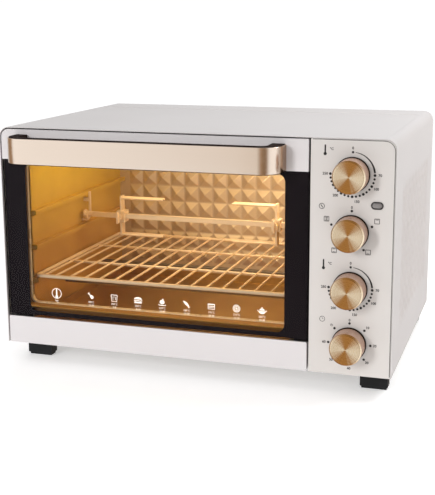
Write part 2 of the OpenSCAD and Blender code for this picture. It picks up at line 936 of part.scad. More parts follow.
// Domed glass over the lamp, with a flange inside the cavity
module oven_lamp_lens() {
    flange_t = 2;
    flange_w = 4;
    dome = 9;
    dome_t = 2;
    x0 = cavity_x1 - flange_t;
    color("#F4E3B8") difference() {
        union() {
            rod_x(x0, cavity_x1, lamp_y, lamp_z, lamp_r + flange_w);
            rod_x(x0 - dome, x0 + flange_t / 2, lamp_y, lamp_z, lamp_r - 1);
            rod_x(x0, lamp_x, lamp_y, lamp_z, lamp_r);
        }
        rod_x(x0 - dome + dome_t, lamp_x + 1, lamp_y, lamp_z, lamp_well_r);
    }
}

// Small bulb: a glass body with a chamfered tip on a narrower neck
module oven_lamp_bulb() {
    glass_r = 8;
    tip_r = 4;
    color("#FFF2CC") translate([lamp_x, lamp_y, lamp_z]) rotate([0, 90, 0]) rotate_extrude()
        polygon([
            [0, -glass_r], [tip_r, -glass_r], [glass_r, -tip_r], [glass_r, tip_r],
            [neck_r, glass_r], [neck_r, neck_len], [0, neck_len]
        ]);
}

module oven_lamp_holder() {
    holder_len = 26;
    color("#E4DFD2") difference() {
        rod_x(lamp_x, lamp_x + holder_len, lamp_y, lamp_z, lamp_r);
        rod_x(lamp_x - 1, lamp_x + neck_len / 2, lamp_y, lamp_z, lamp_well_r);
        rod_x(lamp_x, lamp_x + neck_len, lamp_y, lamp_z, neck_r);
    }
}

// Geared motor outside the right wall, on two stand-offs
module rotisserie_motor() {
    x0 = cavity_x1 + wall_t;
    face = socket_x1 + 2;
    gearbox = [20, 52, 48];
    can_r = 19;
    can_len = 16;
    can_drop = 4;
    post_r = 4;
    post_y = 20;
    post_z = 18;
    color("#A9ABAD") difference() {
        union() {
            translate([face, spit_y - gearbox[1] / 2, spit_z - gearbox[2] / 2]) cube(gearbox);
            rod_x(face + 1, face + gearbox[0] + can_len, spit_y, spit_z - can_drop, can_r);
            for (y = [spit_y - post_y, spit_y + post_y])
                rod_x(x0, face + 1, y, spit_z + post_z, post_r);
        }
        rod_x(face - 1, socket_shaft_x1 + 1, spit_y, spit_z, socket_shaft_r + pin_gap);
    }
}

// Hooked bracket on the left wall: the spit's round end lies in its cradle
module spit_support() {
    hook_x0 = -214;
    hook_x1 = -212;
    cradle_r = journal_r + 0.06;
    outer_r = 8;
    post_y0 = spit_y + 4.4;
    post_y1 = spit_y + 9;
    post_top = spit_z + 31;
    tab_z = post_top - 14;
    tab_h = 5;
    low_tab_z = [spit_z - 9.5, spit_z - 7];
    low_tab_y = [spit_y - 3, spit_y + 3];
    root_x = hook_x0 + 0.5;
    color("#D8C08A") {
        plate_yz(hook_x0, hook_x1) {
            difference() {
                translate([spit_y, spit_z]) circle(r = outer_r);
                translate([spit_y, spit_z]) circle(r = cradle_r);
                area([spit_y - outer_r - 1, spit_z], [spit_y + outer_r + 1, spit_z + outer_r + 1]);
            }
            area([post_y0, spit_z - 1], [post_y1, post_top]);
        }
        box([cavity_x0, post_y0, tab_z], [root_x, post_y1, tab_z + tab_h]);
        box([cavity_x0, low_tab_y[0], low_tab_z[0]], [root_x, low_tab_y[1], low_tab_z[1]]);
    }
}

// Coupling with a square mouth for the spit, on the motor's output shaft
module drive_socket() {
    mouth = spit_side + 0.4;
    color("#B4B6B8") difference() {
        union() {
            rod_x(socket_x0, socket_x1, spit_y, spit_z, socket_r);
            rod_x(socket_x1 - 1, socket_shaft_x1, spit_y, spit_z, socket_shaft_r);
        }
        box(
            [socket_x0 - 1, spit_y - mouth / 2, spit_z - mouth / 2],
            [socket_x1 - 2, spit_y + mouth / 2, spit_z + mouth / 2]
        );
    }
}

// Square spit with a round, grooved end
module spit_rod() {
    square_x0 = spit_x0 + journal_len;
    half = spit_side / 2;
    color("#D9D3C4") {
        box([square_x0, spit_y - half, spit_z - half], [spit_x1, spit_y + half, spit_z + half]);
        rod_x(spit_x0, square_x0 + 1, spit_y, spit_z, journal_r);
        rod_x(spit_x0, spit_x0 + 2, spit_y, spit_z, journal_r + 2);
    }
}

// Fork with four tines: its hub slides on the spit. way is 1 when the tines point right.
module fork(x, way) {
    bore = [hub_len + 1, spit_side + 0.3, spit_side + 0.3];
    hub = [hub_len, hub_side, hub_side];
    plate = [2.4, 12, 2 * fork_half];
    tine_y = 4.2;
    tine_z = fork_half - 3;
    color("#D2CDC2") translate([x, spit_y, spit_z]) difference() {
        union() {
            box(-hub / 2, hub / 2);
            box(-plate / 2, plate / 2);
            for (z = [-tine_z, tine_z])
                for (y = [-tine_y, tine_y])
                    rod_x(min(0, way * tine_len), max(0, way * tine_len), y, z, tine_r);
        }
        box(-bore / 2, bore / 2);
        rod_y(0, -hub_side, 0, 0, screw_r + pin_gap);
    }
}

module fork_left() { fork(fork_left_x, 1); }
module fork_right() { fork(fork_right_x, -1); }

// Thumbscrew with two wings, which clamps a fork on the spit
module thumbscrew(x) {
    head_y = spit_y - hub_side / 2 - 4;
    tip_y = spit_y - spit_side / 2 - 0.3;
    collar = [4, 3];
    wing_t = 2;
    wing_d = 7;
    wing_half = 8;
    color("#C9C3B6") translate([x, 0, spit_z]) {
        rod_y(0, head_y, tip_y, 0, screw_r);
        rod_y(0, head_y - collar[1], head_y, 0, collar[0]);
        box([-wing_t / 2, head_y - 1 - wing_d, -wing_half], [wing_t / 2, head_y - 1, wing_half]);
    }
}

module thumbscrew_left() { thumbscrew(fork_left_x); }
module thumbscrew_right() { thumbscrew(fork_right_x); }

// ---------- door ----------

// Tempered glass below the painted strip
module door_glass() {
    color([0.75, 0.7, 0.62, 0.35]) plate_xz(y_front, y_front + glass_t)
        round_area([door_x0, door_z0], [door_x1, glass_z1], 1);
}

// Dark printed border on the back of the glass
module door_mask() {
    color("#221E25") plate_xz(y_front + glass_t, ring_y0) difference() {
        round_area([door_x0 + 0.4, door_z0 + 0.4], [door_x1 - 0.4, glass_z1], 1);
        round_area([window_x0, window_z0], [window_x1, window_z1], window_r);
    }
}

module ring_outline(grow) {
    difference() {
        area([ring_x0, ring_z0], [ring_x1, ring_z1]);
        area(
            [ring_x0 + ring_side + grow, ring_z0 + ring_low + grow],
            [ring_x1 - ring_side - grow, ring_z1 - ring_high - grow]
        );
    }
}

// Folded sheet channel behind the glass, notched for the hinge tabs and drilled for the pins
module door_inner_frame() {
    color("#A7A299") difference() {
        plate_xz(ring_y0, ring_y1) ring_outline(0);
        plate_xz(ring_y0 - 1, ring_y1 - ring_t) difference() {
            area([ring_x0 + ring_t, ring_z0 + ring_t], [ring_x1 - ring_t, ring_z1 - ring_t]);
            area(
                [ring_x0 + ring_side - ring_t, ring_z0 + ring_low - ring_t],
                [ring_x1 - ring_side + ring_t, ring_z1 - ring_high + ring_t]
            );
        }
        for (x = [tab_left_x, tab_right_x])
            box(
                [x + tab_t / 2 - notch_w / 2, ring_y0 - 1, ring_z0 - 1],
                [x + tab_t / 2 + notch_w / 2, ring_y1 + 1, ring_z0 + notch_h]
            );
        rod_x(ring_x0 - 1, ring_x1 + 1, hinge_y, hinge_z, pin_r);
        handle_screw_places() rod_y(0, ring_y0 - 1, ring_y1 + 1, 0, handle_screw_r + 2.4);
    }
}

// Painted strip along the door's top, with its top edge folded back
module door_top_trim() {
    front_t = 1.6;
    color("#E4E1DE") difference() {
        union() {
            plate_xz(y_front, y_front + front_t)
                arch_area([door_x0, trim_z0], [door_x1, door_z1], corner_r - door_side_gap, 1);
            plate_xz(y_front, ring_y0) difference() {
                arch_area([door_x0, trim_z0], [door_x1, door_z1], corner_r - door_side_gap, 1);
                arch_area(
                    [door_x0 + front_t, trim_z0 + front_t], [door_x1 - front_t, door_z1 - front_t],
                    corner_r - door_side_gap - front_t, 0.5
                );
            }
        }
        handle_screw_places() rod_y(0, y_front - 1, y_front + front_t + 1, 0, handle_screw_r);
    }
}

// ---------- handle ----------

module handle_screw_places() {
    for (x = [handle_x0 + band_t + backing_t / 2, handle_x1 - band_t - backing_t / 2])
        for (z = [handle_z0 + 9, handle_z0 + handle_h - 9])
            translate([x, 0, z]) children();
}

// Plan of the handle at a given distance inside its outer face: a wide U with round bends
module handle_plan(inset) {
    r = handle_r - inset;
    x0 = handle_x0 + inset;
    x1 = handle_x1 - inset;
    y0 = y_front - handle_reach + inset;
    area([x0, y0 + r], [x1, y_front]);
    area([x0 + r, y0], [x1 - r, y_front]);
    for (x = [x0 + r, x1 - r])
        translate([x, y0 + r]) circle(r = r);
}

module handle_layer(outside, inside, lift) {
    translate([0, 0, handle_z0 + lift]) linear_extrude(handle_h - 2 * lift) difference() {
        handle_plan(outside);
        handle_plan(inside);
        area([handle_x0 - 1, y_front], [handle_x1 + 1, y_front + handle_r]);
        area([handle_x0 + inside, y_front - 2], [handle_x1 - inside, y_front + 1]);
    }
}

// Broad polished band bent back to the door at both ends
module handle_band() {
    color("#E9CFAE") handle_layer(0, band_t, 0);
}

// Dark backing inside the band: its ends take the screws
module handle_backing() {
    color("#2A2523") difference() {
        handle_layer(band_t, band_t + backing_t, backing_inset);
        handle_screw_places() rod_y(0, y_front - handle_foot, y_front + 1, 0, handle_screw_r);
    }
}

// Screws from inside the door into the handle's ends
module handle_screws() {
    head_y = y_front + 1.6;
    color("#B8B8B8") handle_screw_places() {
        rod_y(0, y_front - handle_foot + 1, head_y + 0.5, 0, handle_screw_r);
        rod_y(0, head_y, head_y + 2.2, 0, 4);
    }
}

module hinge_pins() {
    color("#B8B8B8") for (x = [ring_x0, ring_x1 - ring_side])
        rod_x(x, x + ring_side, hinge_y, hinge_z, pin_r);
}

// Curved arm centred on the hinge, with a lug on the door's frame: it runs back through a slot
module door_arm(x) {
    lug_low = 14;
    lug_high = 18;
    lug_front = 3;
    sweep = 92;
    translate([x, hinge_y, hinge_z]) rotate([90, 0, 90]) rotate(-arm_back)
        rotate_extrude(angle = sweep + arm_back)
            translate([arm_r - arm_w / 2, 0]) square([arm_w, arm_t]);
    box(
        [x, hinge_y - lug_front, hinge_z + arm_r - lug_low],
        [x + arm_t, ring_y1 - 1, hinge_z + arm_r + lug_high]
    );
}

module door_arms() {
    color("#A7A7A5") {
        door_arm(ring_x0 - arm_t);
        door_arm(ring_x1);
    }
}

// ---------- crumb tray and rack ----------

module crumb_tray() {
    x0 = cavity_x0 + 2;
    x1 = cavity_x1 - 2;
    y0 = y_front + strip_d;
    color("#A9A49B") difference() {
        box([x0, y0, tray_z], [x1, tray_y1, tray_z + tray_rim]);
        box(
            [x0 + tray_t, y0 + tray_t, tray_z + tray_t],
            [x1 - tray_t, tray_y1 - tray_t, tray_z + tray_rim + 1]
        );
    }
}

// Painted strip under the door, which is the crumb tray's front. Behind its front sheet the channel
// is lower, so that the door's lower edge can swing through.
module crumb_tray_front() {
    y1 = y_front + strip_d;
    z1 = z_base + strip_h;
    channel_z1 = z1 - strip_step;
    vent_in = 20;
    vent_z = [z_base + 6, z_base + 12];
    color("#E6E3E1") difference() {
        union() {
            plate_xz(y_front, y_front + strip_t) round_area([door_x0, z_base], [door_x1, z1], strip_r);
            plate_xz(y_front + strip_t / 2, y1)
                round_area([door_x0, z_base], [door_x1, channel_z1], strip_r);
        }
        box(
            [door_x0 + strip_t, y_front + strip_t, z_base + strip_t],
            [door_x1 - strip_t, y1 - strip_t, channel_z1 - strip_t]
        );
        box([door_x0 + vent_in, y1 - strip_t - 1, vent_z[0]], [door_x1 - vent_in, y1 + 1, vent_z[1]]);
    }
}

// Rim of round wire with quarter-circle corners
module rack_rim() {
    x0 = rack_x0 + rim_r;
    x1 = rack_x1 - rim_r;
    y0 = rack_y0 + rim_r;
    y1 = rack_y1 - rim_r;
    c = rack_corner;
    for (y = [y0, y1])
        rod_x(x0 + c, x1 - c, y, rack_z, rim_r);
    for (x = [x0, x1])
        rod_y(x, y0 + c, y1 - c, rack_z, rim_r);
    corners = [[x1 - c, y1 - c, 0], [x0 + c, y1 - c, 90], [x0 + c, y0 + c, 180], [x1 - c, y0 + c, 270]];
    for (k = corners)
        translate([k[0], k[1], rack_z]) rotate([0, 0, k[2]])
            rotate_extrude(angle = 90) translate([c, 0]) circle(r = rim_r, $fn = 32);
}

// Rack of straight wires welded to a rim, with a cross wire under them
module wire_rack() {
    mid_x = (rack_x0 + rack_x1) / 2;
    first = mid_x - wire_pitch * (wire_count - 1) / 2;
    outer = rim_r + outer_wire_in;
    wires = [for (i = [0:wire_count - 1]) first + i * wire_pitch];
    color("#D6C7A6") {
        rack_rim();
        for (x = concat(wires, [rack_x0 + outer, rack_x1 - outer]))
            rod_y(x, rack_y0 + rim_r, rack_y1 - rim_r, rack_z, wire_r);
        for (y = cross_wire_ys)
            rod_x(rack_x0 + rim_r, rack_x1 - rim_r, y, rack_z - cross_wire_drop, cross_wire_r);
    }
}

outer_shell();
back_cover();
base_pan();
front_frame();
control_panel();
control_bracket();
feet();
foot_screws();
casing_screws();
cord_gland();
terminal_block();
cavity_left_wall();
cavity_right_wall();
cavity_back_wall();
cavity_top();
cavity_floor();
upper_heaters();
lower_heaters();
heater_insulators();
oven_lamp_lens();
oven_lamp_bulb();
oven_lamp_holder();
power_lamp_bezel();
power_lamp_lens();
upper_thermostat();
function_switch();
lower_thermostat();
timer();
rotisserie_motor();
spit_support();
drive_socket();
spit_rod();
fork_left();
fork_right();
thumbscrew_left();
thumbscrew_right();
door_glass();
door_mask();
door_inner_frame();
door_top_trim();
handle_band();
handle_backing();
handle_screws();
hinge_pins();
door_arms();
crumb_tray();
crumb_tray_front();
wire_rack();
upper_knob_shaft();
upper_knob_body();
upper_knob_cap();
function_knob_shaft();
function_knob_body();
function_knob_cap();
lower_knob_shaft();
lower_knob_body();
lower_knob_cap();
timer_knob_shaft();
timer_knob_body();
timer_knob_cap();
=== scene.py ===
import json
from math import cos, hypot, pi, radians, sin

import bmesh
import bpy
from mathutils import Matrix, Vector

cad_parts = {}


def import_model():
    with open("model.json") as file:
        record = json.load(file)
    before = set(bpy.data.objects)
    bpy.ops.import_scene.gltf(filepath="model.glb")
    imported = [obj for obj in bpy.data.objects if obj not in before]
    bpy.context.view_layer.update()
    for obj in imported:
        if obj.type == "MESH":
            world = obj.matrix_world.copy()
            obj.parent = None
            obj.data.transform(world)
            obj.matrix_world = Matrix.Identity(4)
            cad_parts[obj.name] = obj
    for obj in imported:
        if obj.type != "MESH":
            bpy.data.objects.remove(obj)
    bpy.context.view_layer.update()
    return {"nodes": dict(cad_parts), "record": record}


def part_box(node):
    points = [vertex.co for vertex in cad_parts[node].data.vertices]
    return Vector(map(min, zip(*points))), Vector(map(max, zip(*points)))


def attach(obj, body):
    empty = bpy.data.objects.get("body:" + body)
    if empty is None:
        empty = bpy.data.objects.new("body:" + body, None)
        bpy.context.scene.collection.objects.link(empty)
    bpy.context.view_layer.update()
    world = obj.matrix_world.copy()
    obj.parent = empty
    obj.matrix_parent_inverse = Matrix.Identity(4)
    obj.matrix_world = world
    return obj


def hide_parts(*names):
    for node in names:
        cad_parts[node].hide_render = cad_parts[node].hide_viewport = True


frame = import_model()
MM = 0.001

# ---------------------------------------------------------------- places taken from the frame

shell_lo, shell_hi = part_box("outer_shell")
glass_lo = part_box("door_glass")[0]
panel_lo, panel_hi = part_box("control_panel")
band_lo, band_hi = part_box("handle_band")
left_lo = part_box("cavity_left_wall")[0]
right_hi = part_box("cavity_right_wall")[1]
FRONT = panel_lo[1]
CAVITY_SHEET = 0.8 * MM
CAVITY_X = (left_lo[0] + CAVITY_SHEET, right_hi[0] - CAVITY_SHEET)
CAVITY_Z = (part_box("cavity_floor")[1][2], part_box("cavity_top")[0][2])
KNOBS = ("upper", "function", "lower", "timer")


def centre(node):
    lo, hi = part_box(node)
    return (Vector(lo) + Vector(hi)) / 2


# ---------------------------------------------------------------- materials


class Shader:
    """A Principled material with a few helpers for its node tree."""

    def __init__(self, name):
        self.material = bpy.data.materials.new(name)
        self.material.use_nodes = True
        self.tree = self.material.node_tree
        self.tree.nodes.clear()
        self.out = self.add("ShaderNodeOutputMaterial")
        self.skin = self.add("ShaderNodeBsdfPrincipled")
        self.link(self.skin.outputs[0], self.out.inputs[0])
        self.coords = self.add("ShaderNodeTexCoord").outputs["Object"]

    def add(self, kind, **settings):
        node = self.tree.nodes.new(kind)
        for key, value in settings.items():
            setattr(node, key, value)
        return node

    def link(self, a, b):
        self.tree.links.new(a, b)

    def set(self, **values):
        for key, value in values.items():
            socket = self.skin.inputs[key.replace("_", " ")]
            socket.default_value = (*value, 1) if isinstance(value, tuple) else value

    def stretched(self, scale):
        mapping = self.add("ShaderNodeMapping")
        mapping.inputs["Scale"].default_value = scale
        self.link(self.coords, mapping.inputs["Vector"])
        return mapping.outputs[0]

    def noise(self, scale, detail=3.0, rough=0.5, vector=None):
        node = self.add("ShaderNodeTexNoise")
        node.inputs["Scale"].default_value = scale
        node.inputs["Detail"].default_value = detail
        node.inputs["Roughness"].default_value = rough
        self.link(vector or self.coords, node.inputs["Vector"])
        return node.outputs["Fac"]

    def spread(self, value, low, high, start=0.3, end=0.7):
        node = self.add("ShaderNodeMapRange")
        for key, number in (("From Min", start), ("From Max", end), ("To Min", low), ("To Max", high)):
            node.inputs[key].default_value = number
        self.link(value, node.inputs["Value"])
        return node.outputs["Result"]

    def blend(self, value, first, second, start=0.3, end=0.7):
        node = self.add("ShaderNodeValToRGB")
        low, high = node.color_ramp.elements
        low.position, high.position = start, end
        low.color, high.color = (*first, 1), (*second, 1)
        self.link(value, node.inputs["Fac"])
        return node.outputs["Color"]

    def colour(self, value, first, second, start=0.3, end=0.7):
        self.link(self.blend(value, first, second, start, end), self.skin.inputs["Base Color"])

    def roughness(self, value, low, high):
        self.link(self.spread(value, low, high), self.skin.inputs["Roughness"])

    def bump(self, value, strength, distance=0.1 * MM, below=None):
        node = self.add("ShaderNodeBump")
        node.inputs["Strength"].default_value = strength
        node.inputs["Distance"].default_value = distance
        self.link(value, node.inputs["Height"])
        if below:
            self.link(below, node.inputs["Normal"])
        self.link(node.outputs[0], self.skin.inputs["Normal"])
        return node.outputs[0]


def paint(name, light, dark, rough=0.34, relief=0.015, coat=0.15):
    """Baked enamel or powder paint: slow colour drift, fine orange peel and a soft clear coat."""
    s = Shader(name)
    s.colour(s.noise(7), dark, light)
    s.roughness(s.noise(5), rough - 0.02, rough + 0.02)
    s.set(Coat_Weight=coat, Coat_Roughness=0.2)
    s.bump(s.noise(260, 1), relief, 0.05 * MM)
    return s.material


def metal(name, light, dark, rough=0.3, brushed=None, relief=0.1, anisotropic=0.0, metallic=1.0):
    """Bare metal. brushed is a scale along X, Y and Z that draws the grain out into lines."""
    s = Shader(name)
    grain = s.noise(1, 5, 0.6, s.stretched(brushed)) if brushed else s.noise(60, 2)
    s.colour(grain, dark, light)
    s.roughness(grain, rough - 0.06, rough + 0.08)
    s.set(Metallic=metallic, Anisotropic=anisotropic)
    s.bump(grain, relief, 0.04 * MM)
    return s.material


def plastic(name, light, dark, rough=0.45, grain=1400, relief=0.2, shine=0.5):
    """Moulded plastic with a fine spark-eroded grain."""
    s = Shader(name)
    s.set(Specular_IOR_Level=shine)
    s.colour(s.noise(40), dark, light)
    s.roughness(s.noise(grain, 2), rough - 0.06, rough + 0.08)
    s.bump(s.noise(grain, 2), relief, 0.05 * MM)
    return s.material


def spun_metal(name, light, dark):
    """Disc turned on a lathe: fine rings round its middle, and two pairs of sectors painted lighter and
    darker in its colour, a painted highlight and painted shade for the sheen of spun metal, with faint random
    streaks.
    """
    s = Shader(name)
    mapping = s.add("ShaderNodeMapping")
    mapping.inputs["Location"].default_value = (-0.5, -0.5, -0.5)
    s.link(s.add("ShaderNodeTexCoord").outputs["Generated"], mapping.inputs["Vector"])
    flat = s.add("ShaderNodeVectorMath", operation="MULTIPLY")
    flat.inputs[1].default_value = (1, 0, 1)
    s.link(mapping.outputs[0], flat.inputs[0])
    radius = s.add("ShaderNodeVectorMath", operation="LENGTH")
    s.link(flat.outputs[0], radius.inputs[0])
    rings = s.add("ShaderNodeTexNoise", noise_dimensions="1D")
    rings.inputs["Scale"].default_value = 90
    rings.inputs["Detail"].default_value = 6
    s.link(radius.outputs["Value"], rings.inputs["W"])
    split = s.add("ShaderNodeSeparateXYZ")
    s.link(flat.outputs[0], split.inputs[0])
    turn = s.add("ShaderNodeMath", operation="ARCTAN2")
    s.link(split.outputs["X"], turn.inputs[0])
    s.link(split.outputs["Z"], turn.inputs[1])
    # Sectors from twice the angle round the axis: painted highlight in two opposite sectors and painted shade
    # in the two between.
    doubled = s.add("ShaderNodeMath", operation="MULTIPLY_ADD")
    doubled.inputs[1].default_value = 2
    doubled.inputs[2].default_value = -0.35
    s.link(turn.outputs[0], doubled.inputs[0])
    painted_sheen_sectors = s.add("ShaderNodeMath", operation="COSINE")
    s.link(doubled.outputs[0], painted_sheen_sectors.inputs[0])
    fine = s.add("ShaderNodeTexNoise", noise_dimensions="1D")
    fine.inputs["Scale"].default_value = 5
    fine.inputs["Detail"].default_value = 3
    s.link(turn.outputs[0], fine.inputs["W"])
    sheen_and_streaks = s.add("ShaderNodeMath", operation="MULTIPLY_ADD")
    sheen_and_streaks.inputs[1].default_value = 0.8
    s.link(fine.outputs["Fac"], sheen_and_streaks.inputs[0])
    s.link(painted_sheen_sectors.outputs[0], sheen_and_streaks.inputs[2])
    # Colour runs from dark to light with the painted sectors and the random streaks.
    s.colour(s.spread(sheen_and_streaks.outputs[0], 1, 0, -0.6, 1.4), dark, light, 0.1, 0.95)
    s.roughness(rings.outputs["Fac"], 0.2, 0.32)
    s.set(Metallic=1.0, Anisotropic=0.8)
    tangent = s.add("ShaderNodeTangent", direction_type="RADIAL", axis="Y")
    s.link(tangent.outputs[0], s.skin.inputs["Tangent"])
    s.bump(rings.outputs["Fac"], 0.08, 0.03 * MM)
    return s.material


def clear_glass(name, tint, gloss=0.03, index=1.4):
    """Tempered pane: nearly clear from in front, with reflections that grow at a slant."""
    s = Shader(name)
    s.tree.nodes.remove(s.skin)
    see = s.add("ShaderNodeBsdfTransparent")
    see.inputs["Color"].default_value = (*tint, 1)
    shine = s.add("ShaderNodeBsdfGlossy")
    shine.inputs["Color"].default_value = (0.9, 0.9, 0.9, 1)
    smear = s.spread(s.noise(9), gloss, gloss + 0.05)
    s.link(smear, shine.inputs["Roughness"])
    fresnel = s.add("ShaderNodeFresnel")
    fresnel.inputs["IOR"].default_value = index
    mix = s.add("ShaderNodeMixShader")
    s.link(fresnel.outputs[0], mix.inputs[0])
    s.link(see.outputs[0], mix.inputs[1])
    s.link(shine.outputs[0], mix.inputs[2])
    s.link(mix.outputs[0], s.out.inputs[0])
    return s.material


def cavity_metal(name, light, dark, metallic=0.6, low=None):
    """Gold-toned steel sheet: brushed grain and faint stains, browner towards the foot where low is given."""
    s = Shader(name)
    grain = s.noise(1, 4, 0.6, s.stretched((30, 500, 500)))
    stains = s.noise(11, 6, 0.62)
    if low:
        split = s.add("ShaderNodeSeparateXYZ")
        s.link(s.coords, split.inputs[0])
        mix = s.add("ShaderNodeMix", data_type="RGBA")
        s.link(s.spread(split.outputs["Z"], 0, 1, 0.13, 0.27), mix.inputs["Factor"])
        s.link(s.blend(stains, low[1], low[0], 0.32, 0.66), mix.inputs["A"])
        s.link(s.blend(stains, dark, light, 0.32, 0.66), mix.inputs["B"])
        s.link(mix.outputs["Result"], s.skin.inputs["Base Color"])
    else:
        s.colour(stains, dark, light, 0.32, 0.66)
    s.roughness(grain, 0.28, 0.42)
    s.set(Metallic=metallic)
    s.bump(grain, 0.08, 0.04 * MM)
    return s.material


def shaded_frame_sheet(name, inside, gap_shade_colours, x, z):
    """Sheet with a gold inner part round the mouth; beyond the given limits it is near black, a painted shade
    for the deep gaps round the door.
    """
    s = Shader(name)
    split = s.add("ShaderNodeSeparateXYZ")
    s.link(s.coords, split.inputs[0])
    edge = None
    for axis, (low, high) in (("X", x), ("Z", z)):
        offset = s.add("ShaderNodeMath", operation="SUBTRACT")
        offset.inputs[1].default_value = (low + high) / 2
        s.link(split.outputs[axis], offset.inputs[0])
        size = s.add("ShaderNodeMath", operation="ABSOLUTE")
        s.link(offset.outputs[0], size.inputs[0])
        past = s.add("ShaderNodeMath", operation="GREATER_THAN")
        past.inputs[1].default_value = (high - low) / 2
        s.link(size.outputs[0], past.inputs[0])
        if edge is None:
            edge = past.outputs[0]
        else:
            both = s.add("ShaderNodeMath", operation="MAXIMUM")
            s.link(edge, both.inputs[0])
            s.link(past.outputs[0], both.inputs[1])
            edge = both.outputs[0]
    # Near black beyond the limits: painted shade where the gaps round the door lie in shadow.
    mix = s.add("ShaderNodeMix", data_type="RGBA")
    s.link(edge, mix.inputs["Factor"])
    s.link(s.blend(s.noise(12, 5), inside[1], inside[0]), mix.inputs["A"])
    s.link(s.blend(s.noise(12, 5), gap_shade_colours[1], gap_shade_colours[0]), mix.inputs["B"])
    s.link(mix.outputs["Result"], s.skin.inputs["Base Color"])
    s.roughness(s.noise(160), 0.34, 0.5)
    s.set(Metallic=0.5)
    s.bump(s.noise(500), 0.06, 0.04 * MM)
    return s.material


def glowing(name, colour, strength):
    s = Shader(name)
    s.colour(s.noise(60), colour, colour)
    s.set(Emission_Color=colour, Emission_Strength=strength)
    return s.material


MAT = {
    "shell": paint("casing_paint", (0.66, 0.63, 0.625), (0.635, 0.605, 0.60)),
    "strip": paint("strip_paint", (0.69, 0.66, 0.665), (0.67, 0.64, 0.645), rough=0.3),
    "panel": paint("panel_paint", (0.655, 0.625, 0.60), (0.64, 0.61, 0.585), rough=0.38, coat=0.1),
    "rear": paint("rear_paint", (0.60, 0.59, 0.57), (0.55, 0.54, 0.52), rough=0.45, coat=0.0),
    "zinc": metal("zinc_plate", (0.62, 0.62, 0.61), (0.48, 0.48, 0.48), 0.4),
    # Gold round the mouth; the near-black colours are painted shade for the gaps round the door.
    "frame": shaded_frame_sheet(
        "shaded_frame_sheet", ((0.62, 0.38, 0.13), (0.48, 0.28, 0.08)), ((0.05, 0.045, 0.045), (0.03, 0.027, 0.027)),
        (-236 * MM, 138.5 * MM), (67 * MM, 299 * MM)
    ),
    "ring": metal(
        "ring_sheet", (0.50, 0.27, 0.06), (0.36, 0.18, 0.035), 0.42, (25, 500, 500), 0.05, metallic=0.4
    ),
    "rubber": plastic("foot_rubber", (0.014, 0.015, 0.017), (0.008, 0.009, 0.010), 0.6, 1800, 0.3, shine=0.3),
    "screw": metal("screw_plate", (0.72, 0.72, 0.73), (0.58, 0.58, 0.59), 0.24),
    "black": plastic("black_plastic", (0.02, 0.019, 0.02), (0.01, 0.01, 0.011), 0.38),
    "bakelite": plastic("terminal_plastic", (0.74, 0.70, 0.60), (0.66, 0.62, 0.52), 0.5),
    "cavity": cavity_metal(
        "cavity_sheet", (0.88, 0.69, 0.075), (0.74, 0.56, 0.055), 0.5,
        ((0.62, 0.38, 0.11), (0.48, 0.28, 0.075))
    ),
    "low": cavity_metal("cavity_low_sheet", (0.90, 0.38, 0.04), (0.72, 0.29, 0.03)),
    "embossed": cavity_metal("embossed_sheet", (0.62, 0.53, 0.44), (0.50, 0.41, 0.33), 0.45),
    "heater": metal("heater_sheath", (0.30, 0.27, 0.25), (0.16, 0.14, 0.13), 0.42, (60, 900, 900), 0.2),
    "ceramic": plastic("ceramic", (0.86, 0.83, 0.75), (0.8, 0.76, 0.67), 0.3, 700, 0.1),
    "bulb_glass": clear_glass("lamp_glass", (1.0, 0.93, 0.75)),
    "bulb": glowing("lamp_bulb", (1.0, 0.72, 0.35), 6.0),
    "bezel": metal("lamp_bezel", (0.07, 0.065, 0.065), (0.04, 0.038, 0.036), 0.3),
    "pilot": plastic("pilot_lens", (0.34, 0.32, 0.31), (0.14, 0.13, 0.13), 0.12, 300, 0.1),
    "case": plastic("control_case", (0.62, 0.60, 0.54), (0.55, 0.53, 0.47), 0.5),
    # Cream-gold tint: partly the plating's own colour, partly painted reflection of the amber cavity.
    "chrome": metal("rack_chrome", (0.86, 0.72, 0.57), (0.80, 0.66, 0.51), 0.42, relief=0.0, metallic=0.5),
    "shaft": metal("shaft_steel", (0.68, 0.68, 0.69), (0.55, 0.55, 0.56), 0.3),
    "glass": clear_glass("door_pane", (0.96, 0.94, 0.90), 0.03, 1.18),
    # Cream and lighter than bare chrome: partly the rolled edge's own colour, partly a painted highlight for
    # the bright line along the lit edge.
    "lip": metal("mouth_lip", (0.95, 0.82, 0.60), (0.88, 0.74, 0.52), 0.3, metallic=0.3),
    # Dark brown for the handle's backing, and as painted shade for the ring round each knob's foot.
    "lining_and_shade": plastic("band_lining", (0.022, 0.011, 0.008), (0.012, 0.006, 0.005), 0.7, shine=0.08),
    "tray": metal("tray_aluminium", (0.66, 0.46, 0.20), (0.52, 0.34, 0.12), 0.36, (20, 400, 400)),
    "copper": plastic("knob_copper", (0.50, 0.315, 0.225), (0.44, 0.27, 0.19), 0.3, 900, 0.04),
    "gold": spun_metal("knob_gold", (1.0, 0.86, 0.64), (0.52, 0.25, 0.07)),
    "ink": plastic("dial_ink", (0.016, 0.015, 0.016), (0.010, 0.009, 0.010), 0.6),
    # White print that glows a little: painted light, so it reads bright on the dark glass.
    "glowing_white_ink": glowing("window_ink_glow", (0.92, 0.84, 0.74), 0.28),
}


def border_print():
    """Baked-on black border behind the glass, with a faint cloudy unevenness."""
    s = Shader("border_print")
    s.colour(s.noise(9), (0.0075, 0.0052, 0.0095), (0.0098, 0.0070, 0.0120))
    s.roughness(s.noise(60), 0.55, 0.68)
    s.set(Specular_IOR_Level=0.1)
    return s.material


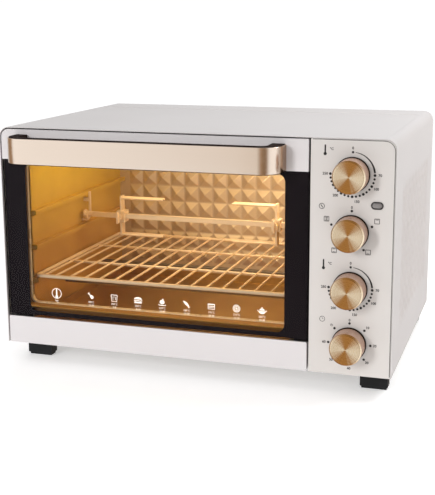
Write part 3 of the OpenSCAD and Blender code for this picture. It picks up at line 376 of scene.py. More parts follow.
def polished_band():
    """Champagne band with a fine grain along it; browner where its legs run back to the door, a painted shade
    for the dark reflection on the legs.
    """
    s = Shader("champagne_band")
    grain = s.noise(1, 5, 0.6, s.stretched((6, 500, 500)))
    split = s.add("ShaderNodeSeparateXYZ")
    s.link(s.coords, split.inputs[0])
    mix = s.add("ShaderNodeMix", data_type="RGBA")
    # Brown legs: painted shade for their darker reflection, not a tone of the band.
    painted_shade_legs = s.spread(split.outputs["Y"], 0, 1, band_lo[1] + 13 * MM, band_lo[1] + 19 * MM)
    s.link(painted_shade_legs, mix.inputs["Factor"])
    s.link(s.blend(grain, (0.92, 0.775, 0.655), (0.94, 0.80, 0.68)), mix.inputs["A"])
    s.link(s.blend(grain, (0.40, 0.24, 0.13), (0.46, 0.28, 0.16)), mix.inputs["B"])
    s.link(mix.outputs["Result"], s.skin.inputs["Base Color"])
    s.roughness(grain, 0.14, 0.28)
    s.set(Metallic=1.0)
    s.bump(grain, 0.01, 0.04 * MM)
    return s.material


MAT["mask"] = border_print()
MAT["band"] = polished_band()

# ---------------------------------------------------------------- pieces


def dress(node, material):
    """Gives a CAD node its material."""
    mesh = frame["nodes"][node].data
    mesh.materials.clear()
    mesh.materials.append(MAT[material])


def place(name, mesh, body, material, replaced=()):
    """Adds a mesh as a piece that rides on a body."""
    piece = bpy.data.objects.new(name, mesh)
    bpy.context.scene.collection.objects.link(piece)
    mesh.materials.clear()
    mesh.materials.append(MAT[material])
    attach(piece, body)
    if replaced:
        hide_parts(*replaced)
    return piece


def to_mesh(bm, name, smooth_angle=35):
    """Turns a bmesh into a mesh that is smooth but for edges sharper than smooth_angle."""
    bmesh.ops.recalc_face_normals(bm, faces=bm.faces)
    mesh = bpy.data.meshes.new(name)
    bm.to_mesh(mesh)
    bm.free()
    mesh.polygons.foreach_set("use_smooth", [True] * len(mesh.polygons))
    mesh.set_sharp_from_angle(angle=radians(smooth_angle))
    return mesh


def even_shading(piece):
    """Keeps wide flat faces flat beside their rounded edges."""
    piece.modifiers.new("even_shading", "WEIGHTED_NORMAL").keep_sharp = True
    return piece


BODY_OF = {n: b for b, members in frame["record"]["behaviour"]["bodies"].items() for n in members}


def refine(node, material, width, segments=2, sharp=32):
    """Stands in for a CAD node with the same shape, its flat faces joined and its edges rounded."""
    bm = bmesh.new()
    bm.from_mesh(frame["nodes"][node].data)
    bmesh.ops.remove_doubles(bm, verts=bm.verts, dist=1e-6)
    bmesh.ops.dissolve_limit(bm, angle_limit=radians(0.5), verts=bm.verts, edges=bm.edges)
    edges = [e for e in bm.edges if len(e.link_faces) == 2 and e.calc_face_angle() > radians(sharp)]
    bmesh.ops.bevel(
        bm, geom=edges, offset=width, segments=segments, profile=0.5, affect="EDGES", clamp_overlap=True
    )
    mesh = to_mesh(bm, node + "_fine", 50)
    piece = place(node + "_fine", mesh, BODY_OF[node], material, (node,))
    return even_shading(piece)


def lathe(name, outline, at, body, material, replaced, segments=128):
    """Turns an outline of (radius, y) points about an axis along Y through at."""
    bm = bmesh.new()
    rings = []
    for r, y in outline:
        if r < 1e-6:
            rings.append([bm.verts.new((at[0], y, at[2]))])
        else:
            rings.append([
                bm.verts.new((at[0] + r * sin(a), y, at[2] + r * cos(a)))
                for a in (2 * pi * k / segments for k in range(segments))
            ])
    for a, b in zip(rings, rings[1:]):
        for k in range(segments):
            n = (k + 1) % segments
            if len(a) == 1:
                bm.faces.new((a[0], b[k], b[n]))
            elif len(b) == 1:
                bm.faces.new((a[k], b[0], a[n]))
            else:
                bm.faces.new((a[k], b[k], b[n], a[n]))
    return place(name, to_mesh(bm, name), body, material, replaced)


# ---------------------------------------------------------------- casing


def smooth(t):
    t = min(1.0, max(0.0, t))
    return t * t * (3 - 2 * t)


def steps(lo, hi, pitch):
    count = max(1, round((hi - lo) / pitch))
    return [lo + (hi - lo) * k / count for k in range(count + 1)]


def merged(*parts):
    """One rising list from several, without near doubles."""
    found = []
    for value in sorted(v for part in parts for v in part):
        if not found or value - found[-1] > 0.2 * MM:
            found.append(value)
    return found


def casing():
    """The sheet over the top and sides: a pressed field in the top and embossed diamonds in the sides."""
    corner = 13 * MM
    sheet = 1 * MM
    x0, y0, z0 = shell_lo
    x1, y1, z1 = shell_hi
    diamond_y, diamond_z, relief = 30 * MM, 27 * MM, 2.8 * MM
    field_y = (y0 + 50 * MM, y1 - 42 * MM)
    field_z = (z0 + 42 * MM, z1 - 56 * MM)
    top_x = (x0 + 12 * MM, x1 - 12 * MM)
    top_y = (y0 + 14 * MM, y1 - 52 * MM)
    press, ramp, top_r = 0.9 * MM, 1.6 * MM, 11 * MM
    fade = 14 * MM

    def diamonds(y, z):
        inside = min(y - field_y[0], field_y[1] - y, z - field_z[0], field_z[1] - z)
        if inside <= 0:
            return 0.0
        u, v = (y - field_y[0]) / diamond_y, (z - field_z[0]) / diamond_z
        a, b = abs((u % 1) - 0.5), abs((v % 1) - 0.5)
        hill = max(1 - 2 * (a + b), 2 * (a + b) - 1)
        return -relief * smooth(inside / fade) * (1 - min(1.0, hill * 1.1))

    def pressed(x, y):
        mx, my = sum(top_x) / 2, sum(top_y) / 2
        qx = abs(x - mx) - (top_x[1] - top_x[0]) / 2 + top_r
        qy = abs(y - my) - (top_y[1] - top_y[0]) / 2 + top_r
        edge = hypot(max(qx, 0), max(qy, 0)) + min(max(qx, qy), 0) - top_r
        return -press * smooth(-edge / ramp)

    ys = merged(
        [y0, y0 + 0.5 * MM, y1], steps(field_y[0], field_y[1], 2.5 * MM),
        steps(top_y[0] - 1 * MM, top_y[0] + 14 * MM, 1 * MM),
        steps(top_y[1] - 14 * MM, top_y[1] + 1 * MM, 1 * MM),
    )
    side_z = merged([z0, z1 - corner], steps(field_z[0], field_z[1], 2.33 * MM))
    xs = merged(
        [x0 + corner, x1 - corner],
        steps(top_x[0], top_x[0] + 14 * MM, 1 * MM), steps(top_x[1] - 14 * MM, top_x[1], 1 * MM),
        steps(top_x[0] + 14 * MM, top_x[1] - 14 * MM, 30 * MM),
    )
    xs = [x for x in xs if x0 + corner <= x <= x1 - corner]
    arc = [radians(90 * k / 10) for k in range(1, 10)]
    path = [("left", z) for z in side_z]
    path += [("left_arc", a) for a in arc]
    path += [("top", x) for x in xs]
    path += [("right_arc", a) for a in arc]
    path += [("right", z) for z in reversed(side_z)]

    def point(kind, t, y, depth):
        if kind == "left":
            return (x0 + depth - (0 if depth else diamonds(y, t)), y, t)
        if kind == "right":
            return (x1 - depth + (0 if depth else diamonds(y, t)), y, t)
        if kind == "top":
            return (t, y, z1 - depth + (pressed(t, y)))
        r = corner - depth
        if kind == "left_arc":
            return (x0 + corner - r * cos(t), y, z1 - corner + r * sin(t))
        return (x1 - corner + r * sin(t), y, z1 - corner + r * cos(t))

    bm = bmesh.new()
    # The inside steps back behind the embossing, away from the sheet's ends
    behind = sheet + relief
    inner_ys = (
        (y0, sheet), (y0 + 20 * MM, sheet), (y0 + 30 * MM, behind),
        (y1 - 30 * MM, behind), (y1 - 20 * MM, sheet), (y1, sheet)
    )
    outer = [[bm.verts.new(point(k, t, y, 0)) for y in ys] for k, t in path]
    inner = [
        [bm.verts.new(point(k, t, y, deep if k in ("left", "right") else sheet)) for y, deep in inner_ys]
        for k, t in path
    ]
    for a, b in zip(outer, outer[1:]):
        for k in range(len(ys) - 1):
            bm.faces.new((a[k], a[k + 1], b[k + 1], b[k]))
    for a, b in zip(inner, inner[1:]):
        for k in range(len(inner_ys) - 1):
            bm.faces.new((a[k], b[k], b[k + 1], a[k + 1]))
    for a, b, c, d in zip(inner, inner[1:], outer, outer[1:]):
        bm.faces.new((c[0], d[0], b[0], a[0]))
        bm.faces.new((c[-1], a[-1], b[-1], d[-1]))
    for end in (0, -1):
        bm.faces.new((*outer[end], *reversed(inner[end])))
    mesh = to_mesh(bm, "casing_skin", 60)
    return place("casing_skin", mesh, "oven_body", "shell", ("outer_shell",))


casing()
refine("back_cover", "rear", 0.4 * MM)
refine("base_pan", "zinc", 0.3 * MM)
refine("front_frame", "frame", 0.3 * MM)
refine("control_panel", "panel", 0.6 * MM, 3)
refine("feet", "rubber", 1.2 * MM, 3)
refine("cord_gland", "black", 0.5 * MM)
refine("terminal_block", "bakelite", 0.6 * MM)
refine("foot_screws", "screw", 0.3 * MM)
refine("casing_screws", "screw", 0.4 * MM, 3)
dress("control_bracket", "zinc")

# ---------------------------------------------------------------- cavity


def mouth_lip():
    """Rolled edge of the front sheet round the cavity's mouth, with round corners."""
    sheet_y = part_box("door_inner_frame")[1][1] + 2 * MM
    x0, x1 = CAVITY_X
    z0, z1 = 79 * MM, 285 * MM
    r, roll = 8 * MM, 3.6 * MM
    path = []
    corners = ((x1 - r, z1 - r, 0), (x0 + r, z1 - r, 90), (x0 + r, z0 + r, 180), (x1 - r, z0 + r, 270))
    for cx, cz, start in corners:
        for k in range(9):
            a = radians(start + 90 * k / 8)
            path.append((cx, cz, cos(a), sin(a)))
    bm = bmesh.new()
    rings = []
    for cx, cz, ox, oz in path:
        ring = []
        for k in range(9):
            a = radians(-10 + 190 * k / 8)
            out = r + roll * 0.5 + roll * 0.5 * cos(a)
            y = sheet_y + 0.4 * MM - roll * 0.42 * sin(a)
            ring.append(bm.verts.new((cx + ox * out, y, cz + oz * out)))
        ring.append(bm.verts.new((cx + ox * r, sheet_y + 4 * MM, cz + oz * r)))
        rings.append(ring)
    for a, b in zip(rings, rings[1:] + rings[:1]):
        for k in range(len(a) - 1):
            bm.faces.new((a[k], a[k + 1], b[k + 1], b[k]))
    place("mouth_lip", to_mesh(bm, "mouth_lip"), "oven_body", "lip")


mouth_lip()
for wall in ("cavity_left_wall", "cavity_right_wall"):
    refine(wall, "cavity", 0.9 * MM, 3, 20)
dress("cavity_top", "cavity")
dress("cavity_floor", "low")
refine("cavity_back_wall", "embossed", 0.5 * MM, 2, 12)
dress("upper_heaters", "heater")
dress("lower_heaters", "heater")
dress("heater_insulators", "ceramic")
dress("oven_lamp_lens", "bulb_glass")
dress("oven_lamp_bulb", "bulb")
dress("oven_lamp_holder", "ceramic")
refine("spit_support", "chrome", 0.3 * MM)
dress("rotisserie_motor", "zinc")
refine("drive_socket", "shaft", 0.5 * MM)
refine("spit_rod", "chrome", 0.4 * MM)
for side in ("left", "right"):
    refine("fork_" + side, "chrome", 0.3 * MM)
    refine("thumbscrew_" + side, "chrome", 0.5 * MM)
dress("wire_rack", "chrome")
refine("crumb_tray", "tray", 0.3 * MM)

# ---------------------------------------------------------------- controls

for control in ("upper_thermostat", "lower_thermostat", "timer"):
    dress(control, "case")
dress("function_switch", "black")
refine("power_lamp_bezel", "bezel", 0.3 * MM)


def lamp_lens():
    """Low dome of smoked plastic in the bezel."""
    lo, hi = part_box("power_lamp_lens")
    r = (hi[2] - lo[2]) / 2
    half = (hi[0] - lo[0]) / 2 - r
    mid = centre("power_lamp_lens")
    bm = bmesh.new()
    loops = []
    for t, rise in ((1, hi[1] - lo[1]), (1, 0.9 * MM), (0.93, 0.5 * MM), (0.8, 0.2 * MM), (0.5, 0)):
        loop = []
        for k in range(48):
            a = 2 * pi * (k + 0.5) / 48
            side = half if cos(a) > 0 else -half
            x = mid[0] + side * min(1, t + 0.1) + r * t * cos(a)
            loop.append(bm.verts.new((x, lo[1] + rise, mid[2] + r * t * sin(a))))
        loops.append(loop)
    for a, b in zip(loops, loops[1:]):
        for k in range(48):
            bm.faces.new((a[k], a[(k + 1) % 48], b[(k + 1) % 48], b[k]))
    bm.faces.new(loops[0])
    bm.faces.new(loops[-1])
    dome = to_mesh(bm, "power_lamp_dome", 50)
    place("power_lamp_dome", dome, "oven_body", "pilot", ("power_lamp_lens",))


lamp_lens()


def arc_points(cr, cy, r, start, end, count):
    """Points (radius, y) on an arc of the outline's plane, by angles in degrees from +radius to -y."""
    return [
        (cr + r * cos(radians(start + (end - start) * k / count)),
         cy - r * sin(radians(start + (end - start) * k / count)))
        for k in range(count + 1)
    ]


def knob(name):
    """Skirt, cap and pointer of one knob, turned about the knob's axis."""
    skirt_lo, skirt_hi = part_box(name + "_knob_body")
    cap_lo, cap_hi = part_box(name + "_knob_cap")
    at = centre(name + "_knob_cap")
    base_r = (skirt_hi[0] - skirt_lo[0]) / 2
    cap_r = (cap_hi[0] - cap_lo[0]) / 2
    base_y, seat_y, face_y = skirt_hi[1], cap_hi[1], cap_lo[1]
    rim_r = cap_r + 0.3 * MM
    foot = 2.5 * MM
    body = name + "_knob"
    soft = 0.7 * MM
    skirt = [(0, seat_y), (rim_r - soft, seat_y)]
    skirt += arc_points(rim_r - soft, seat_y + soft, soft, 90, 0, 5)
    skirt += [(base_r - 1.0 * MM, base_y - foot - 0.2 * MM), (base_r - 1.2 * MM, base_y - foot)]
    skirt += [(base_r - 2.4 * MM, base_y - foot), (0, base_y - foot)]
    lathe(name + "_skirt", skirt, at, body, "copper", (name + "_knob_body",))
    # The dark ring round the knob's foot is painted shade for the shadow and gap round the knob's base.
    ring = [(base_r - 3 * MM, base_y - foot), (base_r - 0.9 * MM, base_y - foot)]
    ring += arc_points(base_r - 0.6 * MM, base_y - foot + 0.6 * MM, 0.6 * MM, 70, 0, 4)
    ring += [(base_r, base_y - 0.3 * MM), (base_r - 0.3 * MM, base_y), (base_r - 3 * MM, base_y)]
    ring += [(base_r - 3 * MM, base_y - foot)]
    lathe(name + "_ring", ring, at, body, "lining_and_shade", ())
    drop, inset = 1.3 * MM, 1.9 * MM
    cap = [(0, face_y + 0.3 * MM), (cap_r * 0.5, face_y + 0.2 * MM), (cap_r - inset - 0.4 * MM, face_y)]
    cap += [(cap_r - inset, face_y), (cap_r - inset + 0.15 * MM, face_y + 0.05 * MM)]
    cap += [(cap_r - 0.2 * MM, face_y + drop), (cap_r, face_y + drop + 0.2 * MM)]
    cap += [(cap_r, seat_y), (0, seat_y)]
    lathe(name + "_cap", cap, at, body, "gold", (name + "_knob_cap",), 160)
    bm = bmesh.new()
    low, high = at[2] + rim_r - 0.5 * MM, at[2] + rim_r + 0.75 * MM
    bmesh.ops.create_cube(bm, size=1, matrix=Matrix.Translation(
        (at[0], seat_y + 5 * MM, (low + high) / 2)) @ Matrix.Diagonal((1.6 * MM, 8 * MM, high - low, 1)))
    bmesh.ops.bevel(bm, geom=bm.edges, offset=0.35 * MM, segments=3, profile=0.5, affect="EDGES")
    place(name + "_pointer", to_mesh(bm, name + "_pointer"), body, "copper")
    dress(name + "_knob_shaft", "shaft")


for name in KNOBS:
    knob(name)

# ---------------------------------------------------------------- printing


class Print:
    """Flat shapes gathered on an upright plane that faces the front, then made a thin layer."""

    def __init__(self, x, z):
        self.x, self.z = x, z
        self.bm = bmesh.new()

    def polygon(self, points):
        self.bm.faces.new([self.bm.verts.new((self.x + u, 0, self.z + v)) for u, v in points])

    def dot(self, u, v, r, count=20):
        turns = [2 * pi * k / count for k in range(count)]
        self.polygon([(u + r * cos(a), v + r * sin(a)) for a in turns])

    def ribbon(self, points, widths):
        """A line along points, each with its own half width."""
        left, right = [], []
        for k, (u, v) in enumerate(points):
            a = points[max(0, k - 1)]
            b = points[min(len(points) - 1, k + 1)]
            dx, dy = b[0] - a[0], b[1] - a[1]
            size = hypot(dx, dy)
            nx, ny = -dy / size, dx / size
            w = widths[k] if isinstance(widths, list) else widths
            left.append((u + nx * w, v + ny * w))
            right.append((u - nx * w, v - ny * w))
        for k in range(len(points) - 1):
            self.polygon([left[k], left[k + 1], right[k + 1], right[k]])

    def loop(self, points, half):
        self.ribbon([*points, points[0], points[1]], half)

    def circle(self, u, v, r, half, start=0, end=360, count=36):
        self.ribbon([
            (u + r * cos(radians(start + (end - start) * k / count)),
             v + r * sin(radians(start + (end - start) * k / count)))
            for k in range(count + 1)
        ], half)

    def box(self, u, v, w, h, half):
        a, b = w / 2, h / 2
        for p, q in (((-a, -b), (a, -b)), ((a, -b), (a, b)), ((a, b), (-a, b)), ((-a, b), (-a, -b))):
            self.ribbon([(u + p[0], v + p[1]), (u + q[0], v + q[1])], half)

    def number(self, text, u, v, size, weight=0.03):
        curve = bpy.data.curves.new("figure", "FONT")
        curve.body = text
        curve.size = size
        curve.align_x, curve.align_y = "CENTER", "CENTER"
        curve.resolution_u = 3
        curve.offset = size * weight
        holder = bpy.data.objects.new("figure", curve)
        bpy.context.scene.collection.objects.link(holder)
        bpy.context.view_layer.update()
        mesh = bpy.data.meshes.new_from_object(holder)
        mesh.transform(Matrix.Translation((self.x + u, 0, self.z + v)) @ Matrix.Rotation(pi / 2, 4, "X"))
        self.bm.from_mesh(mesh)
        bpy.data.objects.remove(holder)
        bpy.data.curves.remove(curve)
        bpy.data.meshes.remove(mesh)

    def finish(self, name, y, thick, body, material):
        bm = self.bm
        bmesh.ops.remove_doubles(bm, verts=bm.verts, dist=1e-7)
        faces = list(bm.faces)
        for face in faces:
            if face.normal.y > 0:
                face.normal_flip()
        grown = bmesh.ops.extrude_face_region(bm, geom=faces)["geom"]
        for vert in (g for g in grown if isinstance(g, bmesh.types.BMVert)):
            vert.co.y -= thick
        for vert in bm.verts:
            vert.co.y += y
        return place(name, to_mesh(bm, name), body, material)


def polar(r, angle):
    """A place at angle degrees clockwise from the top."""
    return r * sin(radians(angle)), r * cos(radians(angle))


PRINT_T = 0.05 * MM


def thermometer(p, u, v):
    p.ribbon([(u, v - 3 * MM), (u, v + 5 * MM)], 0.9 * MM)
    p.dot(u, v - 4.6 * MM, 1.9 * MM)
    p.dot(u, v + 5 * MM, 0.9 * MM, 12)


def heat_dial(name):
    at = centre(name + "_knob_cap")
    p = Print(at[0], at[2])
    ring, label = 25.6 * MM, 31.6 * MM
    for k in range(19):
        p.dot(*polar(ring, 90 + 10 * k), (1.6 if k % 3 == 0 else 1.35) * MM)
    p.dot(*polar(ring, 0), 1.4 * MM)
    count = 30
    angles = [7 + (84 - 7) * k / count for k in range(count + 1)]
    p.ribbon([polar(ring, a) for a in angles], [(0.3 + 0.8 * k / count) * MM for k in range(count + 1)])
    for angle, text in ((90, "70"), (120, "100"), (170, "150"), (218, "200"), (270, "250")):
        p.number(text, *polar(label, angle), 4.2 * MM)
    p.number("0", *polar(30.2 * MM, 0), 4.2 * MM)
    thermometer(p, -32 * MM, 27.5 * MM)
    p.number("°C", -24.5 * MM, 28.5 * MM, 4.0 * MM)
    p.finish(name + "_dial_print", FRONT, PRINT_T, "oven_body", "ink")


def function_dial():
    at = centre("function_knob_cap")
    p = Print(at[0], at[2])
    for k in range(5):
        p.dot(*polar(24.8 * MM, 72 * k), 1.5 * MM)
    p.number("0", *polar(28.8 * MM, 0), 4.2 * MM)
    line = 0.34 * MM
    size = 5.6 * MM
    for u, v, top, bottom, spit in (
        (29.3, 14.3, True, False, False), (19.8, -22.5, False, True, False),
        (-19.8, -22.5, True, True, False), (-29.3, 14.3, True, True, True),
    ):
        u, v = u * MM, v * MM
        p.box(u, v, size, size, line)
        if top:
            p.ribbon([(u - 1.8 * MM, v + 1.7 * MM), (u + 1.8 * MM, v + 1.7 * MM)], line)
        if bottom:
            p.ribbon([(u - 1.8 * MM, v - 1.7 * MM), (u + 1.8 * MM, v - 1.7 * MM)], line)
        if spit:
            p.circle(u, v, 0.8 * MM, line * 0.8, count=14)
    u, v = -35 * MM, 29 * MM
    p.circle(u, v, 3.1 * MM, line)
    p.ribbon([(u - 1.2 * MM, v + 1.6 * MM), (u + 1.2 * MM, v - 1.6 * MM)], 0.5 * MM)
    p.finish("function_dial_print", FRONT, PRINT_T, "oven_body", "ink")


def timer_dial():
    at = centre("timer_knob_cap")
    p = Print(at[0], at[2])
    ring, label = 25.0 * MM, 30.2 * MM
    for k in range(8):
        p.dot(*polar(ring, 45 * k), 1.5 * MM)
    for k in range(1, 7):
        p.number(str(10 * k), *polar(label, 45 * k), 4.2 * MM)
    p.number("0", *polar(28.8 * MM, 0), 4.2 * MM)
    u, v = polar(label, -45)
    p.circle(u, v, 1.3 * MM, 0.25 * MM, count=20)
    p.ribbon([(u, v), (u, v + 1.6 * MM)], 0.22 * MM)
    u, v = -32.6 * MM, 28 * MM
    p.circle(u, v, 3.1 * MM, 0.28 * MM)
    p.ribbon([(u, v + 2 * MM), (u, v), (u + 1.5 * MM, v)], 0.26 * MM)
    p.finish("timer_dial_print", FRONT, PRINT_T, "oven_body", "ink")


def panel_shadow_line():
    """Painted shadow of the gap between panel and casing, as a thin black layer: up the panel's free edge,
    round its corner and along its top.
    """
    p = Print(0, 0)
    edge, r, half = 0.8 * MM, 12 * MM, 0.35 * MM
    x1, z1 = panel_hi[0] - edge, panel_hi[2] - edge
    points = [(x1, panel_lo[2] + 2 * MM), (x1, z1 - r)]
    points += [(x1 - r + r * cos(radians(9 * k)), z1 - r + r * sin(radians(9 * k))) for k in range(1, 11)]
    points += [(panel_lo[0] + 2 * MM, z1)]
    p.ribbon(points, half)
    p.finish("panel_shadow_line", FRONT, PRINT_T, "oven_body", "ink")


panel_shadow_line()
heat_dial("upper")
function_dial()
heat_dial("lower")
timer_dial()


def window_print():
    """A row of plain pictograms with a temperature and a time under each."""
    first, pitch, z = -130.4 * MM, 32.0 * MM, 98.0 * MM
    p = Print(0, z)
    line = 0.42 * MM
    x = [first + pitch * k for k in range(8)]

    def strokes(u, half, *runs):
        for run in runs:
            p.ribbon([(u + a * MM, b * MM) for a, b in run], half)

    def moved(u, *points):
        return [(u + a * MM, b * MM) for a, b in points]

    def oval(u, v, rx, rz, angles):
        p.polygon([(u + rx * MM * cos(radians(a)), v * MM + rz * MM * sin(radians(a))) for a in angles])

    # drumstick
    p.ribbon(moved(x[0], (-2.8, 3.2), (-1.2, 1.6), (0.6, -0.2), (2.0, -1.6), (3.0, -2.6)),
             [0.5 * MM, 0.6 * MM, 2.0 * MM, 2.3 * MM, 1.0 * MM])
    p.dot(x[0] - 3.2 * MM, 3.0 * MM, 0.9 * MM, 14)
    p.dot(x[0] - 2.5 * MM, 3.8 * MM, 0.9 * MM, 14)
    # slice of bread
    p.loop(moved(
        x[1], (-3.6, -4.0), (3.4, -4.2), (3.6, 1.4), (4.4, 2.8), (3.4, 4.2),
        (0, 4.0), (-3.6, 4.4), (-4.5, 2.8), (-3.7, 1.4)
    ), line)
    strokes(x[1], line * 0.8, ((-1.8, -2.2), (-1.9, 1.6), (1.7, 1.5), (1.7, -2.0)))
    # sandwich
    oval(x[2], 1.0, 5.2, 3.0, range(0, 181, 12))
    strokes(x[2], 0.5 * MM, ((-5.6, -0.3), (-2.8, -0.9), (0, -0.3), (2.8, -0.9), (5.6, -0.3)))
    strokes(x[2], 1.0 * MM, ((-4.9, -2.9), (4.9, -2.9)))
    # roast on a plate
    oval(x[3], 0.2, 3.2, 2.8, range(0, 360, 15))
    p.ribbon([(x[3] + 0.6 * MM, 2.4 * MM), (x[3] + 1.6 * MM, 4.6 * MM)], [1.0 * MM, 0.5 * MM])
    strokes(x[3], 0.5 * MM, ((-5.0, -3.2), (-3.0, -4.0), (3.0, -4.0), (5.0, -3.2)))
    # fish
    p.ribbon(moved(x[4], (-4.4, 4.0), (-2.4, 2.6), (0, 0.6), (2.2, -1.8), (3.2, -3.4)),
             [0.3 * MM, 1.3 * MM, 1.8 * MM, 1.1 * MM, 0.3 * MM])
    strokes(x[4], line, ((2.0, -4.4), (3.2, -3.4), (4.6, -3.2)))
    # cake
    strokes(x[5], 0.7 * MM, ((-3.8, 2.6), (3.8, 2.6)))
    strokes(x[5], line, ((-4.0, 0.2), (4.0, 0.2)), ((-4.2, 3.2), (-4.2, -3.4), (4.2, -3.4), (4.2, 3.2)))
    strokes(x[5], line * 0.8, ((-3.6, -1.6), (3.6, -1.6)))
    # pie
    p.circle(x[6], 0, 4.3 * MM, line)
    p.circle(x[6], 0, 2.9 * MM, line * 0.8, count=28)
    for a in (20, 80, 140):
        c, d = cos(radians(a)) * 2.8 * MM, sin(radians(a)) * 2.8 * MM
        p.ribbon([(x[6] - c, -d), (x[6] + c, d)], 0.28 * MM)
    # pot with a lid
    oval(x[7], -0.6, 4.4, 3.6, range(180, 361, 12))
    oval(x[7], 0.1, 3.4, 2.6, range(0, 181, 12))
    p.dot(x[7], 3.5 * MM, 0.8 * MM, 14)
    strokes(x[7], 0.5 * MM, ((-4.2, -1.0), (-6.0, 0.4)), ((4.2, -1.0), (6.0, 0.4)))
    heats = (190, 200, 250, 220, 180, 170, 210, 230)
    times = ("15-20", "5-8", "8-10", "45-60", "15-20", "25-30", "12-15", "35-40")
    for u, heat, minutes in zip(x, heats, times):
        p.number("%d°C" % heat, u, -7.8 * MM, 3.4 * MM, 0)
        p.number(minutes, u, -11.8 * MM, 3.2 * MM, 0)
    # thermometer at the left
    thermometer(p, -178 * MM, 0.5 * MM)
    p.circle(-178 * MM, 0.0, 6.4 * MM, line)
    p.number("°C", -178 * MM, -10.4 * MM, 4.2 * MM)
    # The print's glow is painted light.
    p.finish("window_print", glass_lo[1], 0.03 * MM, "door", "glowing_white_ink")


window_print()

# ---------------------------------------------------------------- door and handle

refine("door_glass", "glass", 0.5 * MM)
dress("door_mask", "mask")
refine("door_inner_frame", "ring", 0.3 * MM)
refine("door_top_trim", "strip", 0.6 * MM, 3)
refine("crumb_tray_front", "strip", 0.9 * MM, 3)
dress("handle_screws", "screw")
dress("hinge_pins", "screw")
dress("door_arms", "zinc")


def handle_path(inset):
    """Plan of the handle's U, inset from its outer face: each point with its outward direction."""
    r = 25 * MM - inset
    x0, x1 = band_lo[0] + inset, band_hi[0] - inset
    y0, y1 = band_lo[1] + inset, band_hi[1]
    path = [((x0, y1), (-1, 0))]
    bend = 28
    for k in range(bend + 1):
        a = radians(90 * k / bend)
        path.append(((x0 + r - r * cos(a), y0 + r - r * sin(a)), (-cos(a), -sin(a))))
    for k in range(1, 12):
        path.append(((x0 + r + (x1 - x0 - 2 * r) * k / 12, y0), (0, -1)))
    for k in range(bend + 1):
        a = radians(90 * k / bend)
        path.append(((x1 - r + r * sin(a), y0 + r - r * cos(a)), (sin(a), -cos(a))))
    path.append(((x1, y1), (1, 0)))
    return path


def handle_part(name, node, material, inset, thick, soft, short=0.0, flare=0.0):
    """Lofts a rounded rectangle along the handle's U.

    short takes something off the node's height at both edges, and flare thickens the ends towards the door.
    """
    lo, hi = (Vector(corner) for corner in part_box(node))
    lo.z, hi.z = lo.z + short, hi.z - short
    bm = bmesh.new()
    rings = []
    for (x, y), (ox, oy) in handle_path(inset):
        t = thick + flare * abs(ox) ** 2
        section = []
        for cd, cz, start in (
            (soft, hi[2] - soft, 90), (soft, lo[2] + soft, 180),
            (t - soft, lo[2] + soft, 270), (t - soft, hi[2] - soft, 0)
        ):
            for k in range(4):
                a = radians(start + 30 * k)
                section.append((cd + soft * cos(a), cz + soft * sin(a)))
        rings.append([bm.verts.new((x - ox * d, y - oy * d, z)) for d, z in section])
    size = len(section)
    for a, b in zip(rings, rings[1:]):
        for k in range(size):
            bm.faces.new((a[k], a[(k + 1) % size], b[(k + 1) % size], b[k]))
    bm.faces.new(rings[0])
    bm.faces.new(list(reversed(rings[-1])))
    return place(name, to_mesh(bm, name, 50), "door", material, (node,))


handle_part("handle_band_fine", "handle_band", "band", 0, 1.5 * MM, 0.5 * MM, 1.0 * MM)
handle_part(
    "handle_backing_fine", "handle_backing", "lining_and_shade",
    1.5 * MM, 9 * MM, 1.0 * MM, flare=7 * MM
)

# ---------------------------------------------------------------- floor, light and camera


def floor():
    """A white round table top."""
    bm = bmesh.new()
    bmesh.ops.create_circle(bm, cap_ends=True, segments=128, radius=1.15)
    mesh = bpy.data.meshes.new("floor")
    bm.to_mesh(mesh)
    bm.free()
    s = Shader("floor_white")
    s.colour(s.noise(2), (0.95, 0.95, 0.95), (0.97, 0.97, 0.97))
    s.set(Roughness=0.8, Emission_Color=(1.0, 1.0, 1.0), Emission_Strength=0.34)
    mesh.materials.append(s.material)
    piece = bpy.data.objects.new("floor", mesh)
    piece.visible_glossy = False
    bpy.context.scene.collection.objects.link(piece)


floor()


def soft_box(name, at, target, size, power, colour=(1, 1, 1), seen=True):
    light = bpy.data.lights.new(name, "AREA")
    light.shape = "RECTANGLE"
    light.size, light.size_y = size
    light.energy = power
    light.color = colour
    lamp = bpy.data.objects.new(name, light)
    lamp.location = at
    lamp.rotation_euler = (Vector(target) - Vector(at)).to_track_quat("-Z", "Y").to_euler()
    lamp.visible_camera = False
    lamp.visible_glossy = seen
    bpy.context.scene.collection.objects.link(lamp)


soft_box("key", (0.3, -1.6, 2.6), (0.0, 0, 0.1), (1.8, 1.8), 6, seen=False)
soft_box("fill", (-1.0, -2.4, 0.95), (0, 0, 0.15), (0.5, 0.9), 30, seen=False)
soft_box("right", (0.75, 0.15, 0.9), (0.25, 0.02, 0.22), (0.45, 0.4), 4.9)
soft_box("back", (-0.8, 1.8, 1.6), (0, 0, 0.15), (1.2, 1.2), 9, seen=False)

mid_x = sum(CAVITY_X) / 2
low_z, high_z = CAVITY_Z
amber = (1.0, 0.74, 0.38)
soft_box("cavity_high", (mid_x, -0.02, high_z - 4 * MM), (mid_x, -0.01, low_z), (0.30, 0.20), 0.31, amber)
embers = (1.0, 0.5, 0.12)
soft_box("cavity_low", (mid_x, 0.0, low_z + 16 * MM), (mid_x, 0.02, high_z), (0.3, 0.2), 0.07, embers)
soft_box("cavity_front", (mid_x, -0.128, 0.272), (mid_x, 0.15, 0.14), (0.30, 0.02), 0.10, (1.0, 0.84, 0.6))
lamp_at = (CAVITY_X[1] - 30 * MM, 0.0, 0.268)
soft_box("cavity_lamp", lamp_at, (-0.08, 0.15, 0.17), (0.05, 0.05), 0.36, (1.0, 0.84, 0.64))


